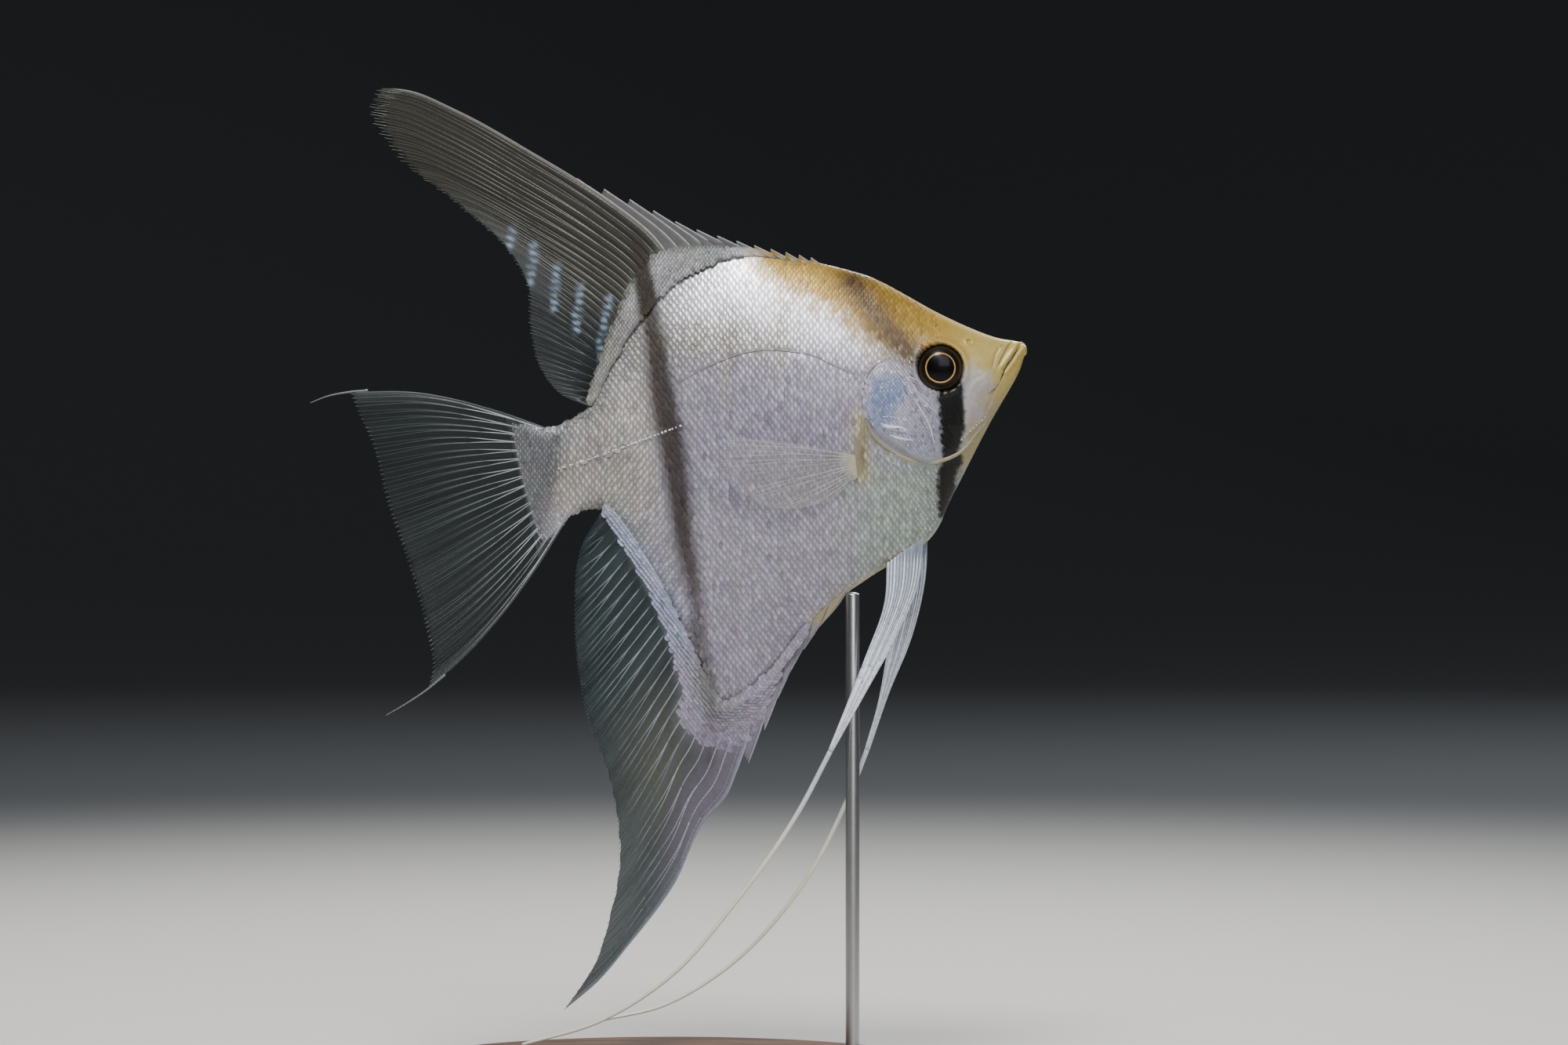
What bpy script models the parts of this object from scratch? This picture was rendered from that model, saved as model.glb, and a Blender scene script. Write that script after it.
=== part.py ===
"""A life-size still model of a freshwater angelfish, held over a flat base by one rod.

The fish faces +X with its head a little up, +Z is up and the fish's own middle plane is Y = 0.
Every size is in millimetres, and MM turns it into Blender's metres. Outlines are drawn in the
fish's side view as (x, z) from FISH_MIDDLE, a point in the middle of the flank.
"""

import math

import bmesh
import bpy
import numpy as np

MM = 0.001
GAP = 0.3  # air between two pieces that meet
FIN_GAP = 0.36  # between the body and a fin's base

FISH_MIDDLE = (12.63, 0.0, 113.2)  # above the floor, over the middle of the base
FIN_THICKNESS = 0.7
LOBE_GAP = 0.7  # between a fin's spiny part and its soft part

BASE_LENGTH, BASE_WIDTH, BASE_HEIGHT = 96.0, 62.0, 8.0
BASE_CHAMFER = 1.2
ROD_RADIUS = 1.25
ROD_DEPTH = 4.0  # how far the rod goes into the base
ROD_STATION = 5.35  # where on the belly the rod ends, and how far below it
ROD_CLEARANCE = 0.66
COLLAR_RADIUS, COLLAR_HEIGHT = 3.2, 2.4

# The body is a row of upright cross-sections. Each row: x and z of the back, x and z of the
# belly, half of the width, and how sharp the back and belly are (0.5 is an ellipse).
STATIONS = (
    (50.5, 23.1, 51.4, 20.3, 1.4, 0.50),  # lips
    (45.1, 24.2, 50.0, 16.5, 2.7, 0.50),  # nostrils
    (36.4, 28.0, 45.1, 8.0, 4.9, 0.55),  # eyes
    (26.2, 33.6, 38.8, -4.2, 6.4, 0.62),  # cheeks
    (21.0, 35.6, 34.2, -12.7, 7.0, 0.70),  # gill covers and pelvic fins
    (10.9, 37.9, 23.8, -19.2, 7.3, 0.80),  # first dorsal spines
    (0.0, 38.8, 15.1, -25.9, 7.1, 0.90),  # first anal spines
    (-11.2, 34.7, 6.3, -36.7, 6.2, 1.00),
    (-17.9, 27.3, -2.5, -42.4, 5.0, 1.00),  # lowest point of the body
    (-20.6, 23.4, -5.6, -37.5, 4.5, 0.95),
    (-23.1, 18.9, -12.9, -22.4, 3.9, 0.85),
    (-25.5, 13.6, -21.0, -9.5, 3.1, 0.70),
    (-28.0, 10.2, -24.6, -6.9, 2.6, 0.60),  # narrowest part of the tail
    (-33.6, 7.8, -29.5, -8.1, 1.5, 0.55),  # root of the tail fin
)
SIDE_POINTS = 12  # faces from belly to back on one side
HEAD_RINGS = 14
HEAD_END, TAIL_START, TAIL_END = 4.42, 11.9, 13.0  # in stations
STATION_GAP = 0.035  # in stations, about GAP
CUTTER_REACH = 9.0  # from Y = 0 to beyond the widest part of the head
CORE_START, CORE_END = 0.02, 5.2  # stations of the core that backs the gill covers
CREASE = math.radians(40)  # edges sharper than this aren't shaded smooth

EYE_CENTRE, EYE_RADIUS = (36.1, 18.1), 4.1
EYE_DEPTH, EYE_SET = 2.4, 3.7  # half of its thickness, and its centre's distance from Y = 0

GILL_PLATE = 1.2  # thickness of a gill cover
GILL_COVER = (
    (27.3, 20.6), (24.9, 19.2), (23.2, 16.2), (23.4, 12.0), (24.2, 7.1),
    (27.6, 3.8), (32.0, 1.6), (36.5, 1.5), (34.7, 6.0), (32.5, 11.3), (29.6, 16.0),
)
LOWER_JAW = (
    (52.5, 22.3), (50.0, 21.6), (47.6, 17.6), (45.4, 13.0), (43.0, 8.0),
    (40.6, 2.6), (44.0, 1.0), (54.0, 17.0),
)

DORSAL_SPINES, ANAL_SPINES = 12, 7
DORSAL_NOTCH, ANAL_NOTCH = 1.5, 2.3  # how far the skin falls back behind a spine's tip
DORSAL_BASE = (4.6, 6.9, 11.3)  # stations: first spine, last spine, last ray
DORSAL_SPINE_TIPS = ((13.2, 38.4), (0.0, 40.7), (-9.8, 43.9), (-17.9, 47.7), (-28.6, 52.1))
LAST_DORSAL_SPINE = ((-14.2, 41.0), (-22.1, 47.7), (-28.6, 52.1))  # from just above its base
DORSAL_LEADING_EDGE = ((-35.6, 56.3), (-50.1, 64.4), (-58.5, 67.9), (-63.7, 68.5))
DORSAL_REAR_EDGE = (
    (-63.7, 68.5), (-65.3, 65.0), (-61.3, 57.1), (-50.1, 47.7), (-40.6, 38.8),
    (-37.4, 32.8), (-37.0, 26.5), (-35.1, 18.2), (-31.0, 13.3), (-27.8, 12.0),
)
ANAL_BASE = (6.15, 7.4, 11.8)  # stations: first spine, last spine, last ray
ANAL_SPINE_TIPS = ((14.0, -28.6), (9.0, -36.8), (4.9, -46.3), (2.4, -51.6), (-2.0, -58.4))
LAST_ANAL_SPINE = ((1.7, -48.4), (0.6, -51.8), (-2.0, -58.4))
ANAL_LEADING_EDGE = ((-5.6, -62.4), (-11.2, -73.9), (-19.6, -85.1), (-24.6, -91.0), (-30.9, -96.3))
ANAL_REAR_EDGE = (
    (-24.4, -7.7), (-27.6, -13.0), (-29.1, -26.2), (-27.2, -42.6), (-22.3, -57.5),
    (-21.0, -68.7), (-23.0, -80.5), (-25.6, -88.3), (-30.9, -96.3),
)
TAIL_ROOT = ((-34.0, 7.6), (-29.9, -8.0))
TAIL_UPPER_EDGE = ((-34.0, 7.6), (-43.1, 10.8), (-57.5, 14.0), (-69.2, 14.1))
TAIL_LOWER_EDGE = ((-29.9, -8.0), (-36.7, -18.9), (-50.5, -35.1), (-55.0, -38.9))
TAIL_REAR_EDGE = (
    (-69.2, 14.1), (-67.6, 10.0), (-65.4, 5.2), (-62.6, -5.5), (-58.4, -17.5),
    (-55.2, -29.0), (-54.2, -35.0), (-55.0, -38.9),
)
TAIL_THREADS = {
    "upper": ((-69.6, 14.0), (-73.2, 13.3), (-76.3, 12.1)),
    "lower": ((-55.4, -39.2), (-59.0, -41.6), (-62.6, -43.7)),
}
PECTORAL_UPPER_EDGE = ((20.6, 3.2), (10.0, 4.7), (-1.5, 6.0))
PECTORAL_LOWER_EDGE = ((20.6, -1.5), (18.4, -4.2), (15.7, -5.9))
PECTORAL_REAR_EDGE = ((-1.5, 6.0), (-2.1, 0.0), (1.4, -4.6), (8.4, -6.9), (15.7, -5.9))
PECTORAL_OUT = (7.6, 8.6, 9.6)  # distance from Y = 0, root to tip
PECTORAL_LEAN = 0.8  # how much nearer to Y = 0 its lower edge is

# The two pelvic fins are swept back by different amounts, as in a turning fish.
PELVIC = {
    "right": {
        "front": ((33.0, -13.9), (32.6, -19.3), (28.3, -29.9), (23.5, -38.5), (16.9, -50.2)),
        "rear": ((26.4, -18.2), (26.4, -22.7), (22.7, -33.6), (19.7, -41.3), (16.3, -49.7)),
        "filament": (
            (16.4, -50.4), (11.1, -60.4), (-0.4, -76.9), (-11.6, -89.7), (-24.5, -98.0), (-38.2, -102.2),
        ),
        "out": (1.5, 3.6, 4.6, 4.2, 2.4),
    },
    "left": {
        "front": ((33.8, -13.6), (33.7, -19.3), (31.4, -29.5), (27.2, -39.9), (23.7, -50.2)),
        "rear": ((27.3, -17.7), (28.2, -23.5), (26.9, -32.2), (25.2, -42.0), (22.9, -50.0)),
        "filament": (
            (23.1, -50.7), (19.6, -59.5), (9.7, -77.3), (-2.4, -89.7), (-13.5, -96.1), (-24.5, -98.6),
        ),
        "out": (1.5, 3.4, 4.4, 4.0, 3.0),
    },
}
FILAMENT_RADIUS, FILAMENT_TIP_RADIUS = 0.42, 0.27

COLOURS = {  # linear red, green, blue, then roughness and metallic
    "flesh": (0.50, 0.49, 0.52, 0.38, 0.15),
    "fin": (0.20, 0.22, 0.22, 0.45, 0.0),
    "filament": (0.62, 0.63, 0.58, 0.45, 0.0),
    "eye": (0.02, 0.018, 0.015, 0.08, 0.0),
    "stand_wood": (0.07, 0.04, 0.025, 0.45, 0.0),
    "stand_steel": (0.62, 0.62, 0.62, 0.28, 1.0),
}


def clear_scene():
    """Removes every object of the startup scene."""
    for obj in list(bpy.data.objects):
        bpy.data.objects.remove(obj)


def new_collection(name):
    """A collection linked to the scene."""
    made = bpy.data.collections.new(name)
    bpy.context.scene.collection.children.link(made)
    return made


def make_materials():
    """One Principled BSDF material for each entry of COLOURS."""
    made = {}
    for name, (red, green, blue, roughness, metallic) in COLOURS.items():
        material = bpy.data.materials.new(name)
        material.use_nodes = True
        shader = material.node_tree.nodes["Principled BSDF"]
        shader.inputs["Base Color"].default_value = (red, green, blue, 1.0)
        shader.inputs["Roughness"].default_value = roughness
        shader.inputs["Metallic"].default_value = metallic
        made[name] = material
    return made


def hermite(knots, values, at):
    """Rows of `values`, given at `knots`, on a smooth curve through them at the places `at`."""
    knots, values, at = (np.asarray(a, float) for a in (knots, values, at))
    steps = np.diff(knots)[:, None]
    slopes = np.diff(values, axis=0) / steps
    tangents = np.vstack([slopes[:1], np.zeros_like(slopes[:-1]), slopes[-1:]])
    tangents[1:-1] = (slopes[:-1] * steps[1:] + slopes[1:] * steps[:-1]) / (steps[:-1] + steps[1:])
    i = np.clip(np.searchsorted(knots, at, side="right") - 1, 0, len(steps) - 1)
    step = steps[i]
    t = (at - knots[i])[:, None] / step
    start = (2 * t**3 - 3 * t**2 + 1) * values[i] + (t**3 - 2 * t**2 + t) * step * tangents[i]
    end = (3 * t**2 - 2 * t**3) * values[i + 1] + (t**3 - t**2) * step * tangents[i + 1]
    return start + end


def curve_through(points, count):
    """`count` points, evenly spread by chord length, on a smooth curve through `points`."""
    points = np.asarray(points, float)
    lengths = np.linalg.norm(np.diff(points, axis=0), axis=1)
    knots = np.concatenate([[0.0], np.cumsum(lengths)]) / lengths.sum()
    return hermite(knots, points, np.linspace(0.0, 1.0, count))


def stations_at(at):
    """The columns of STATIONS at fractional station numbers."""
    return hermite(np.arange(len(STATIONS)), STATIONS, at)


def back_line(first, last, count, away=0.0):
    """The back's outline from station `first` to `last`, moved `away` from the body."""
    line = stations_at(np.linspace(first, last, count))[:, 0:2]
    return line + away * side_normals(line)


def belly_line(first, last, count, away=0.0):
    """The belly's outline from station `first` to `last`, moved `away` from the body."""
    line = stations_at(np.linspace(first, last, count))[:, 2:4]
    return line - away * side_normals(line)


def side_normals(line):
    """Unit vectors square to a line that runs towards the tail, on the side of the back."""
    along = np.gradient(line, axis=0)
    along /= np.linalg.norm(along, axis=1)[:, None]
    return np.stack([along[:, 1], -along[:, 0]], axis=1)


def body_rings(first, last, count, inset=0.0):
    """Closed cross-sections of the body, each up the right side and down the left.

    Height runs as minus the cosine of an even angle, and width as (1 - height squared) to the
    power of the station's sharpness. `inset` shrinks the body by that depth all round.
    """
    rows = stations_at(np.linspace(first, last, count))
    back, belly, half_width, sharpness = rows[:, 0:2], rows[:, 2:4], rows[:, 4], rows[:, 5]
    half = (back - belly) / 2
    half *= 1 - inset / np.linalg.norm(half, axis=1)[:, None]
    middle = (back + belly) / 2
    height = -np.cos(np.linspace(0.0, math.pi, SIDE_POINTS + 1))
    width = (half_width - inset)[:, None] * (1 - height[None, :] ** 2) ** sharpness[:, None]
    side = middle[:, None, :] + half[:, None, :] * height[None, :, None]
    right = np.stack([side[..., 0], -width, side[..., 1]], axis=-1)
    left = np.stack([side[..., 0], width, side[..., 1]], axis=-1)[:, -2:0:-1]
    return np.concatenate([right, left], axis=1)


def to_world(points):
    """Points of the fish, in millimetres, as the scene's metres."""
    return (np.asarray(points, float) + FISH_MIDDLE) * MM


def turn_outwards(mesh):
    """Makes the faces of a closed mesh point out of it."""
    shape = bmesh.new()
    shape.from_mesh(mesh)
    bmesh.ops.recalc_face_normals(shape, faces=shape.faces)
    shape.to_mesh(mesh)
    shape.free()


def add_mesh(name, vertices, faces, collection, material, rounded=True):
    """An object from vertices in metres. A rounded one has its faces turned outwards here."""
    mesh = bpy.data.meshes.new(name)
    mesh.from_pydata(vertices.tolist(), [], faces)
    if rounded:
        turn_outwards(mesh)
        mesh.shade_smooth()
        mesh.set_sharp_from_angle(angle=CREASE)
    mesh.materials.append(material)
    obj = bpy.data.objects.new(name, mesh)
    collection.objects.link(obj)
    return obj


def add_loft(name, rings, collection, material):
    """A closed solid through rings of the same number of points, with flat ends."""
    count, size = rings.shape[:2]
    faces = []
    for i in range(count - 1):
        for j in range(size):
            k = (j + 1) % size
            faces.append((i * size + j, i * size + k, (i + 1) * size + k, (i + 1) * size + j))
    faces.append(tuple(range(size)))
    faces.append(tuple((count - 1) * size + j for j in range(size)))
    return add_mesh(name, to_world(rings.reshape(-1, 3)), faces, collection, material)


def add_sheet(name, grid, collection, material, thickness=FIN_THICKNESS):
    """A fin: an open grid of points (rows, columns, xyz) given its thickness by Solidify."""
    rows, columns = grid.shape[:2]
    faces = []
    for i in range(rows - 1):
        for j in range(columns - 1):
            a = i * columns + j
            faces.append((a, a + 1, a + columns + 1, a + columns))
    obj = add_mesh(name, to_world(grid.reshape(-1, 3)), faces, collection, material)
    solidify = obj.modifiers.new("thickness", "SOLIDIFY")
    solidify.thickness = thickness * MM
    solidify.offset = 0.0
    return obj


def patch(base, edge, start, end, reach=1.0):
    """A fin whose rays run from `base` to `edge`, between the bent rays `start` and `end`.

    Straight lines join base and edge, and the bends of the two outer rays are added to them,
    falling off across the fin with the power `reach`; a power of one gives a Coons patch.
    """
    t = np.linspace(0.0, 1.0, len(start))[:, None, None]
    a = np.linspace(0.0, 1.0, len(base))[None, :, None]
    start_bend = start[:, None] - (1 - t) * start[0] - t * start[-1]
    end_bend = end[:, None] - (1 - t) * end[0] - t * end[-1]
    return (1 - t) * base + t * edge + (1 - a) ** reach * start_bend + a**reach * end_bend


def upright(flat, out):
    """A grid of (x, z) points with `out` as their y."""
    return np.stack([flat[..., 0], np.broadcast_to(out, flat.shape[:2]), flat[..., 1]], axis=-1)


def wave(rows, columns, depth, turns):
    """Sideways sway of a fin: none at its base, `depth` at its edge, `turns` waves across."""
    t = np.linspace(0.0, 1.0, rows)[:, None]
    a = np.linspace(0.0, 1.0, columns)[None, :]
    return depth * t**2 * np.sin(2 * math.pi * turns * (a + 0.15 * t))


def notched(tips, spines, depth, rise):
    """An edge through the spine tips that falls back by `depth` behind each one.

    Each spine has three points: its tip, just behind the tip, and one on the skin up to the
    next tip. `rise` is the direction the spines stand out from the body.
    """
    fall = np.array((0.0, 1.0, 0.5))
    line = curve_through(tips, spines * len(fall) + 1)
    drop = np.concatenate([np.tile(fall, spines), [0.0]])
    grow = np.linspace(0.12, 1.0, len(line))
    return line - (depth * drop * grow)[:, None] * np.asarray(rise)[None, :]


def turning(outline):
    """1.0 where a closed (x, z) outline turns from x towards z, and -1.0 the other way round."""
    x, z = np.asarray(outline, float).T
    return np.sign(np.sum(x * np.roll(z, -1) - z * np.roll(x, -1)))


def prism(name, outline, near, far, collection, material):
    """A solid with a flat (x, z) outline, between the planes y = `near` and y = `far`."""
    outline = np.asarray(outline, float)[:: int(turning(outline))]
    count = len(outline)
    rings = np.stack([np.insert(outline, 1, y, axis=1) for y in sorted((near, far))])
    faces = [tuple(range(count)), tuple(range(2 * count - 1, count - 1, -1))]
    faces += [(i, count + i, count + (i + 1) % count, (i + 1) % count) for i in range(count)]
    return add_mesh(name, to_world(rings.reshape(-1, 3)), faces, collection, material, False)


def plate(name, base, last_spine, edge, collection, material):
    """The spiny part of a fin: flat, from its base up the last spine and back along its edge."""
    outline = np.vstack([base, last_spine[1:], edge[-2::-1]])
    return prism(name, outline, -FIN_THICKNESS / 2, FIN_THICKNESS / 2, collection, material)


def grown(outline, by):
    """A closed outline moved outwards by `by`, each corner along its mean normal."""
    points = np.asarray(outline, float)
    along = np.roll(points, -1, axis=0) - np.roll(points, 1, axis=0)
    along /= np.linalg.norm(along, axis=1)[:, None]
    return points + by * turning(points) * np.stack([along[:, 1], -along[:, 0]], axis=1)


def combine(obj, operation, other):
    """A Boolean modifier on obj."""
    modifier = obj.modifiers.new(f"{operation.lower()} {other.name}", "BOOLEAN")
    modifier.operation = operation
    modifier.object = other


def hide(cutter):
    """A cutter shows as wires and isn't rendered."""
    cutter.hide_render = True
    cutter.display_type = "WIRE"
    return cutter


def add_ellipsoid(name, centre, radii, collection, material):
    """A sphere stretched to three radii, with its poles along Y."""
    shape = bmesh.new()
    bmesh.ops.create_uvsphere(shape, u_segments=22, v_segments=10, radius=1.0)
    vertices = np.array([v.co for v in shape.verts])[:, [0, 2, 1]] * radii + centre
    faces = [tuple(v.index for v in face.verts) for face in shape.faces]
    shape.free()
    return add_mesh(name, to_world(vertices), faces, collection, material)


def add_tube(name, path, radii, collection, material):
    """A round filament along a path in millimetres, tapered, as a curve with filled caps."""
    data = bpy.data.curves.new(name, "CURVE")
    data.dimensions = "3D"
    data.bevel_depth = MM
    data.bevel_resolution = 1
    data.use_fill_caps = True
    spline = data.splines.new("POLY")
    spline.points.add(len(path) - 1)
    for point, place, radius in zip(spline.points, to_world(path), radii):
        point.co = (*place, 1.0)
        point.radius = radius
    data.materials.append(material)
    obj = bpy.data.objects.new(name, data)
    collection.objects.link(obj)
    return obj


def add_cylinder(name, centre, radius, bottom, top, collection, material, segments=24):
    """A round upright piece between two heights above the floor."""
    shape = bmesh.new()
    bmesh.ops.create_cone(
        shape, cap_ends=True, segments=segments,
        radius1=radius * MM, radius2=radius * MM, depth=(top - bottom) * MM,
    )
    mesh = bpy.data.meshes.new(name)
    shape.to_mesh(mesh)
    shape.free()
    mesh.shade_smooth()
    mesh.set_sharp_from_angle(angle=CREASE)
    mesh.materials.append(material)
    obj = bpy.data.objects.new(name, mesh)
    obj.location = (centre[0] * MM, centre[1] * MM, (bottom + top) / 2 * MM)
    collection.objects.link(obj)
    return obj


def make_body(parts, cutters, materials):
    """Head, trunk and tail, one body parted by thin cuts, and the pieces set in the head."""
    flesh = materials["flesh"]
    head = add_loft("head", body_rings(0.0, HEAD_END, HEAD_RINGS), parts, flesh)
    trunk_rings = body_rings(HEAD_END + STATION_GAP, TAIL_START, 21)
    add_loft("trunk", trunk_rings, parts, flesh)
    tail_rings = body_rings(TAIL_START + 2 * STATION_GAP, TAIL_END, 6)
    add_loft("tail_stalk", tail_rings, parts, flesh)
    make_lower_jaw(head, parts, cutters, flesh)
    for side, sign in (("right", -1), ("left", 1)):
        make_gill_cover(head, side, sign, parts, cutters, flesh)
        make_eye(head, side, sign, parts, cutters, materials["eye"])


def make_lower_jaw(head, parts, cutters, flesh):
    """The part of the head below the mouth, parted from it by a thin cut."""
    reach = CUTTER_REACH
    jaw = add_loft("lower_jaw", body_rings(0.0, HEAD_END, HEAD_RINGS), parts, flesh)
    inside = prism("jaw_shape", LOWER_JAW, -reach, reach, cutters, flesh)
    outside = prism("jaw_cut", grown(LOWER_JAW, GAP), -reach - 1, reach + 1, cutters, flesh)
    combine(jaw, "INTERSECT", hide(inside))
    combine(head, "DIFFERENCE", hide(outside))


def make_gill_cover(head, side, sign, parts, cutters, flesh):
    """A thin plate in the head's own surface, in a pocket GAP larger all round."""
    middle, reach = 0.5, CUTTER_REACH
    cover = add_loft(f"gill_cover_{side}", body_rings(0.0, HEAD_END, HEAD_RINGS), parts, flesh)
    shape = prism(f"gill_shape_{side}", GILL_COVER, sign * middle, sign * reach, cutters, flesh)
    core_rings = body_rings(CORE_START, CORE_END, HEAD_RINGS, GILL_PLATE)
    core = add_loft(f"gill_core_{side}", core_rings, cutters, flesh)
    combine(cover, "INTERSECT", hide(shape))
    combine(cover, "DIFFERENCE", hide(core))
    pocket = prism(
        f"gill_pocket_{side}", grown(GILL_COVER, GAP),
        sign * middle * 0.8, sign * (reach + 1), cutters, flesh,
    )
    floor_rings = body_rings(CORE_START, CORE_END, HEAD_RINGS, GILL_PLATE + GAP)
    floor = add_loft(f"gill_floor_{side}", floor_rings, cutters, flesh)
    combine(pocket, "DIFFERENCE", hide(floor))
    combine(head, "DIFFERENCE", hide(pocket))


def make_eye(head, side, sign, parts, cutters, material):
    """A flattened eyeball in a socket GAP larger."""
    centre = np.array((EYE_CENTRE[0], sign * EYE_SET, EYE_CENTRE[1]))
    radii = np.array((EYE_RADIUS, EYE_DEPTH, EYE_RADIUS))
    add_ellipsoid(f"eye_{side}", centre, radii, parts, material)
    socket = add_ellipsoid(f"socket_{side}", centre, radii + GAP, cutters, material)
    combine(head, "DIFFERENCE", hide(socket))


def make_dorsal_fin(parts, material):
    """The notched spiny part along the back, and the long swept-back soft part."""
    first, last, rear = DORSAL_BASE
    edge = notched(DORSAL_SPINE_TIPS, DORSAL_SPINES, DORSAL_NOTCH, (0.0, 1.0))
    base = back_line(first, last, 12, FIN_GAP)
    spine_line = np.vstack([base[-1:], LAST_DORSAL_SPINE])
    plate("dorsal_spines", base, curve_through(spine_line, 8), edge, parts, material)

    rows, columns = 14, 17
    behind = np.array((-0.67, -0.84)) * LOBE_GAP
    leading = curve_through(np.vstack([spine_line + behind, DORSAL_LEADING_EDGE]), rows)
    base = back_line(last + 0.12, rear, columns, FIN_GAP)
    edge = curve_through(DORSAL_REAR_EDGE, columns)
    base[0] = leading[0]
    trailing = np.linspace(base[-1], edge[-1], rows)
    flat = patch(base, edge, leading, trailing)
    add_sheet("dorsal_lobe", upright(flat, wave(rows, columns, 1.2, 0.8)), parts, material)


def make_anal_fin(parts, material):
    """The notched spiny part below the belly, and the long soft part behind it."""
    first, last, rear = ANAL_BASE
    edge = notched(ANAL_SPINE_TIPS, ANAL_SPINES, ANAL_NOTCH, (-0.15, -1.0))
    base = belly_line(first, last, 12, FIN_GAP)
    spine_line = np.vstack([base[-1:], LAST_ANAL_SPINE])
    plate("anal_spines", base, curve_through(spine_line, 8), edge, parts, material)

    rows, columns = 13, 14
    behind = np.array((-0.75, 0.0)) * LOBE_GAP
    leading = curve_through(np.vstack([spine_line + behind, ANAL_LEADING_EDGE]), rows)
    base = belly_line(rear, last + 0.16, columns, -FIN_GAP)
    edge = curve_through(ANAL_REAR_EDGE, columns)
    base[-1] = leading[0]
    trailing = np.linspace(base[0], edge[0], rows)
    flat = patch(base, edge, trailing, leading, reach=3.0)
    add_sheet("anal_lobe", upright(flat, wave(rows, columns, 1.2, 0.6)), parts, material)


def make_tail_fin(parts, materials):
    """A fan whose outer rays run on as two short threads."""
    rows, columns = 10, 17
    base = curve_through(TAIL_ROOT, columns)
    edge = curve_through(TAIL_REAR_EDGE, columns)
    upper, lower = curve_through(TAIL_UPPER_EDGE, rows), curve_through(TAIL_LOWER_EDGE, rows)
    flat = patch(base, edge, upper, lower)
    sway = wave(rows, columns, 1.3, 0.7)
    add_sheet("tail_fin", upright(flat, sway), parts, materials["fin"])
    for end, column in (("upper", 0), ("lower", -1)):
        path = np.insert(curve_through(TAIL_THREADS[end], 6), 1, sway[-1, column], axis=1)
        radii = np.linspace(FILAMENT_RADIUS, FILAMENT_TIP_RADIUS, len(path))
        add_tube(f"tail_thread_{end}", path, radii, parts, materials["fin"])


def make_pectoral_fins(parts, material):
    """Two small fans that lie back along the flanks."""
    rows, columns = 8, 9
    base = np.linspace(PECTORAL_UPPER_EDGE[0], PECTORAL_LOWER_EDGE[0], columns)
    edge = curve_through(PECTORAL_REAR_EDGE, columns)
    upper, lower = curve_through(PECTORAL_UPPER_EDGE, rows), curve_through(PECTORAL_LOWER_EDGE, rows)
    flat = patch(base, edge, upper, lower)
    out = hermite((0.0, 0.5, 1.0), np.array(PECTORAL_OUT)[:, None], np.linspace(0, 1, rows))
    out = out - np.linspace(0.0, PECTORAL_LEAN, columns)[None, :]
    for side, sign in (("right", -1), ("left", 1)):
        add_sheet(f"pectoral_fin_{side}", upright(flat, sign * out), parts, material)


def make_pelvic_fins(parts, materials):
    """Two narrow blades behind the breast, each drawn out into a long thread."""
    rows, columns = 11, 5
    for side, sign in (("right", -1), ("left", 1)):
        shape = PELVIC[side]
        front, rear = curve_through(shape["front"], rows), curve_through(shape["rear"], rows)
        base = np.linspace(front[0], rear[0], columns)
        tip = np.linspace(front[-1], rear[-1], columns)
        flat = patch(base, tip, front, rear)
        root, *along = shape["out"]
        out = np.linspace(root, along[0], rows)[:, None]
        add_sheet(f"pelvic_fin_{side}", upright(flat, sign * out), parts, materials["fin"])
        line = curve_through(shape["filament"], 28)
        knots = np.linspace(0.0, 1.0, len(along))
        out = hermite(knots, np.array(along)[:, None], np.linspace(0.0, 1.0, len(line)))
        path = np.insert(line, 1, sign * out[:, 0], axis=1)
        radii = np.linspace(FILAMENT_RADIUS, FILAMENT_TIP_RADIUS, len(line))
        add_tube(f"pelvic_thread_{side}", path, radii, parts, materials["filament"])


def make_stand(parts, cutters, materials):
    """An oval wooden base, a steel rod up to the belly, and a collar round its foot."""
    wood, steel = materials["stand_wood"], materials["stand_steel"]
    base = add_cylinder("stand_base", (0, 0), 1.0, 0.0, BASE_HEIGHT, parts, wood, 60)
    for vertex in base.data.vertices:
        vertex.co.x *= BASE_LENGTH / 2
        vertex.co.y *= BASE_WIDTH / 2
    bevel = base.modifiers.new("chamfer", "BEVEL")
    bevel.width = BASE_CHAMFER * MM
    bevel.limit_method = "ANGLE"

    belly = stations_at([ROD_STATION])[0, 2:4]
    foot = (belly[0] + FISH_MIDDLE[0], 0.0)
    top = belly[1] + FISH_MIDDLE[2] - ROD_CLEARANCE
    bottom = BASE_HEIGHT - ROD_DEPTH
    socket = add_cylinder(
        "rod_socket", foot, ROD_RADIUS + GAP, bottom - GAP, BASE_HEIGHT + 1, cutters, steel
    )
    combine(base, "DIFFERENCE", hide(socket))
    add_cylinder("stand_rod", foot, ROD_RADIUS, bottom, top, parts, steel)
    collar = add_cylinder(
        "stand_collar", foot, COLLAR_RADIUS, BASE_HEIGHT + GAP,
        BASE_HEIGHT + GAP + COLLAR_HEIGHT, parts, steel,
    )
    bore = add_cylinder(
        "collar_bore", foot, ROD_RADIUS + GAP, BASE_HEIGHT - 1,
        BASE_HEIGHT + COLLAR_HEIGHT + 2, cutters, steel,
    )
    combine(collar, "DIFFERENCE", hide(bore))


def main():
    """Builds the whole model."""
    clear_scene()
    parts, cutters = new_collection("angelfish"), new_collection("cutters")
    materials = make_materials()
    make_body(parts, cutters, materials)
    make_dorsal_fin(parts, materials["fin"])
    make_anal_fin(parts, materials["fin"])
    make_tail_fin(parts, materials)
    make_pectoral_fins(parts, materials["fin"])
    make_pelvic_fins(parts, materials)
    make_stand(parts, cutters, materials)


main()
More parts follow.
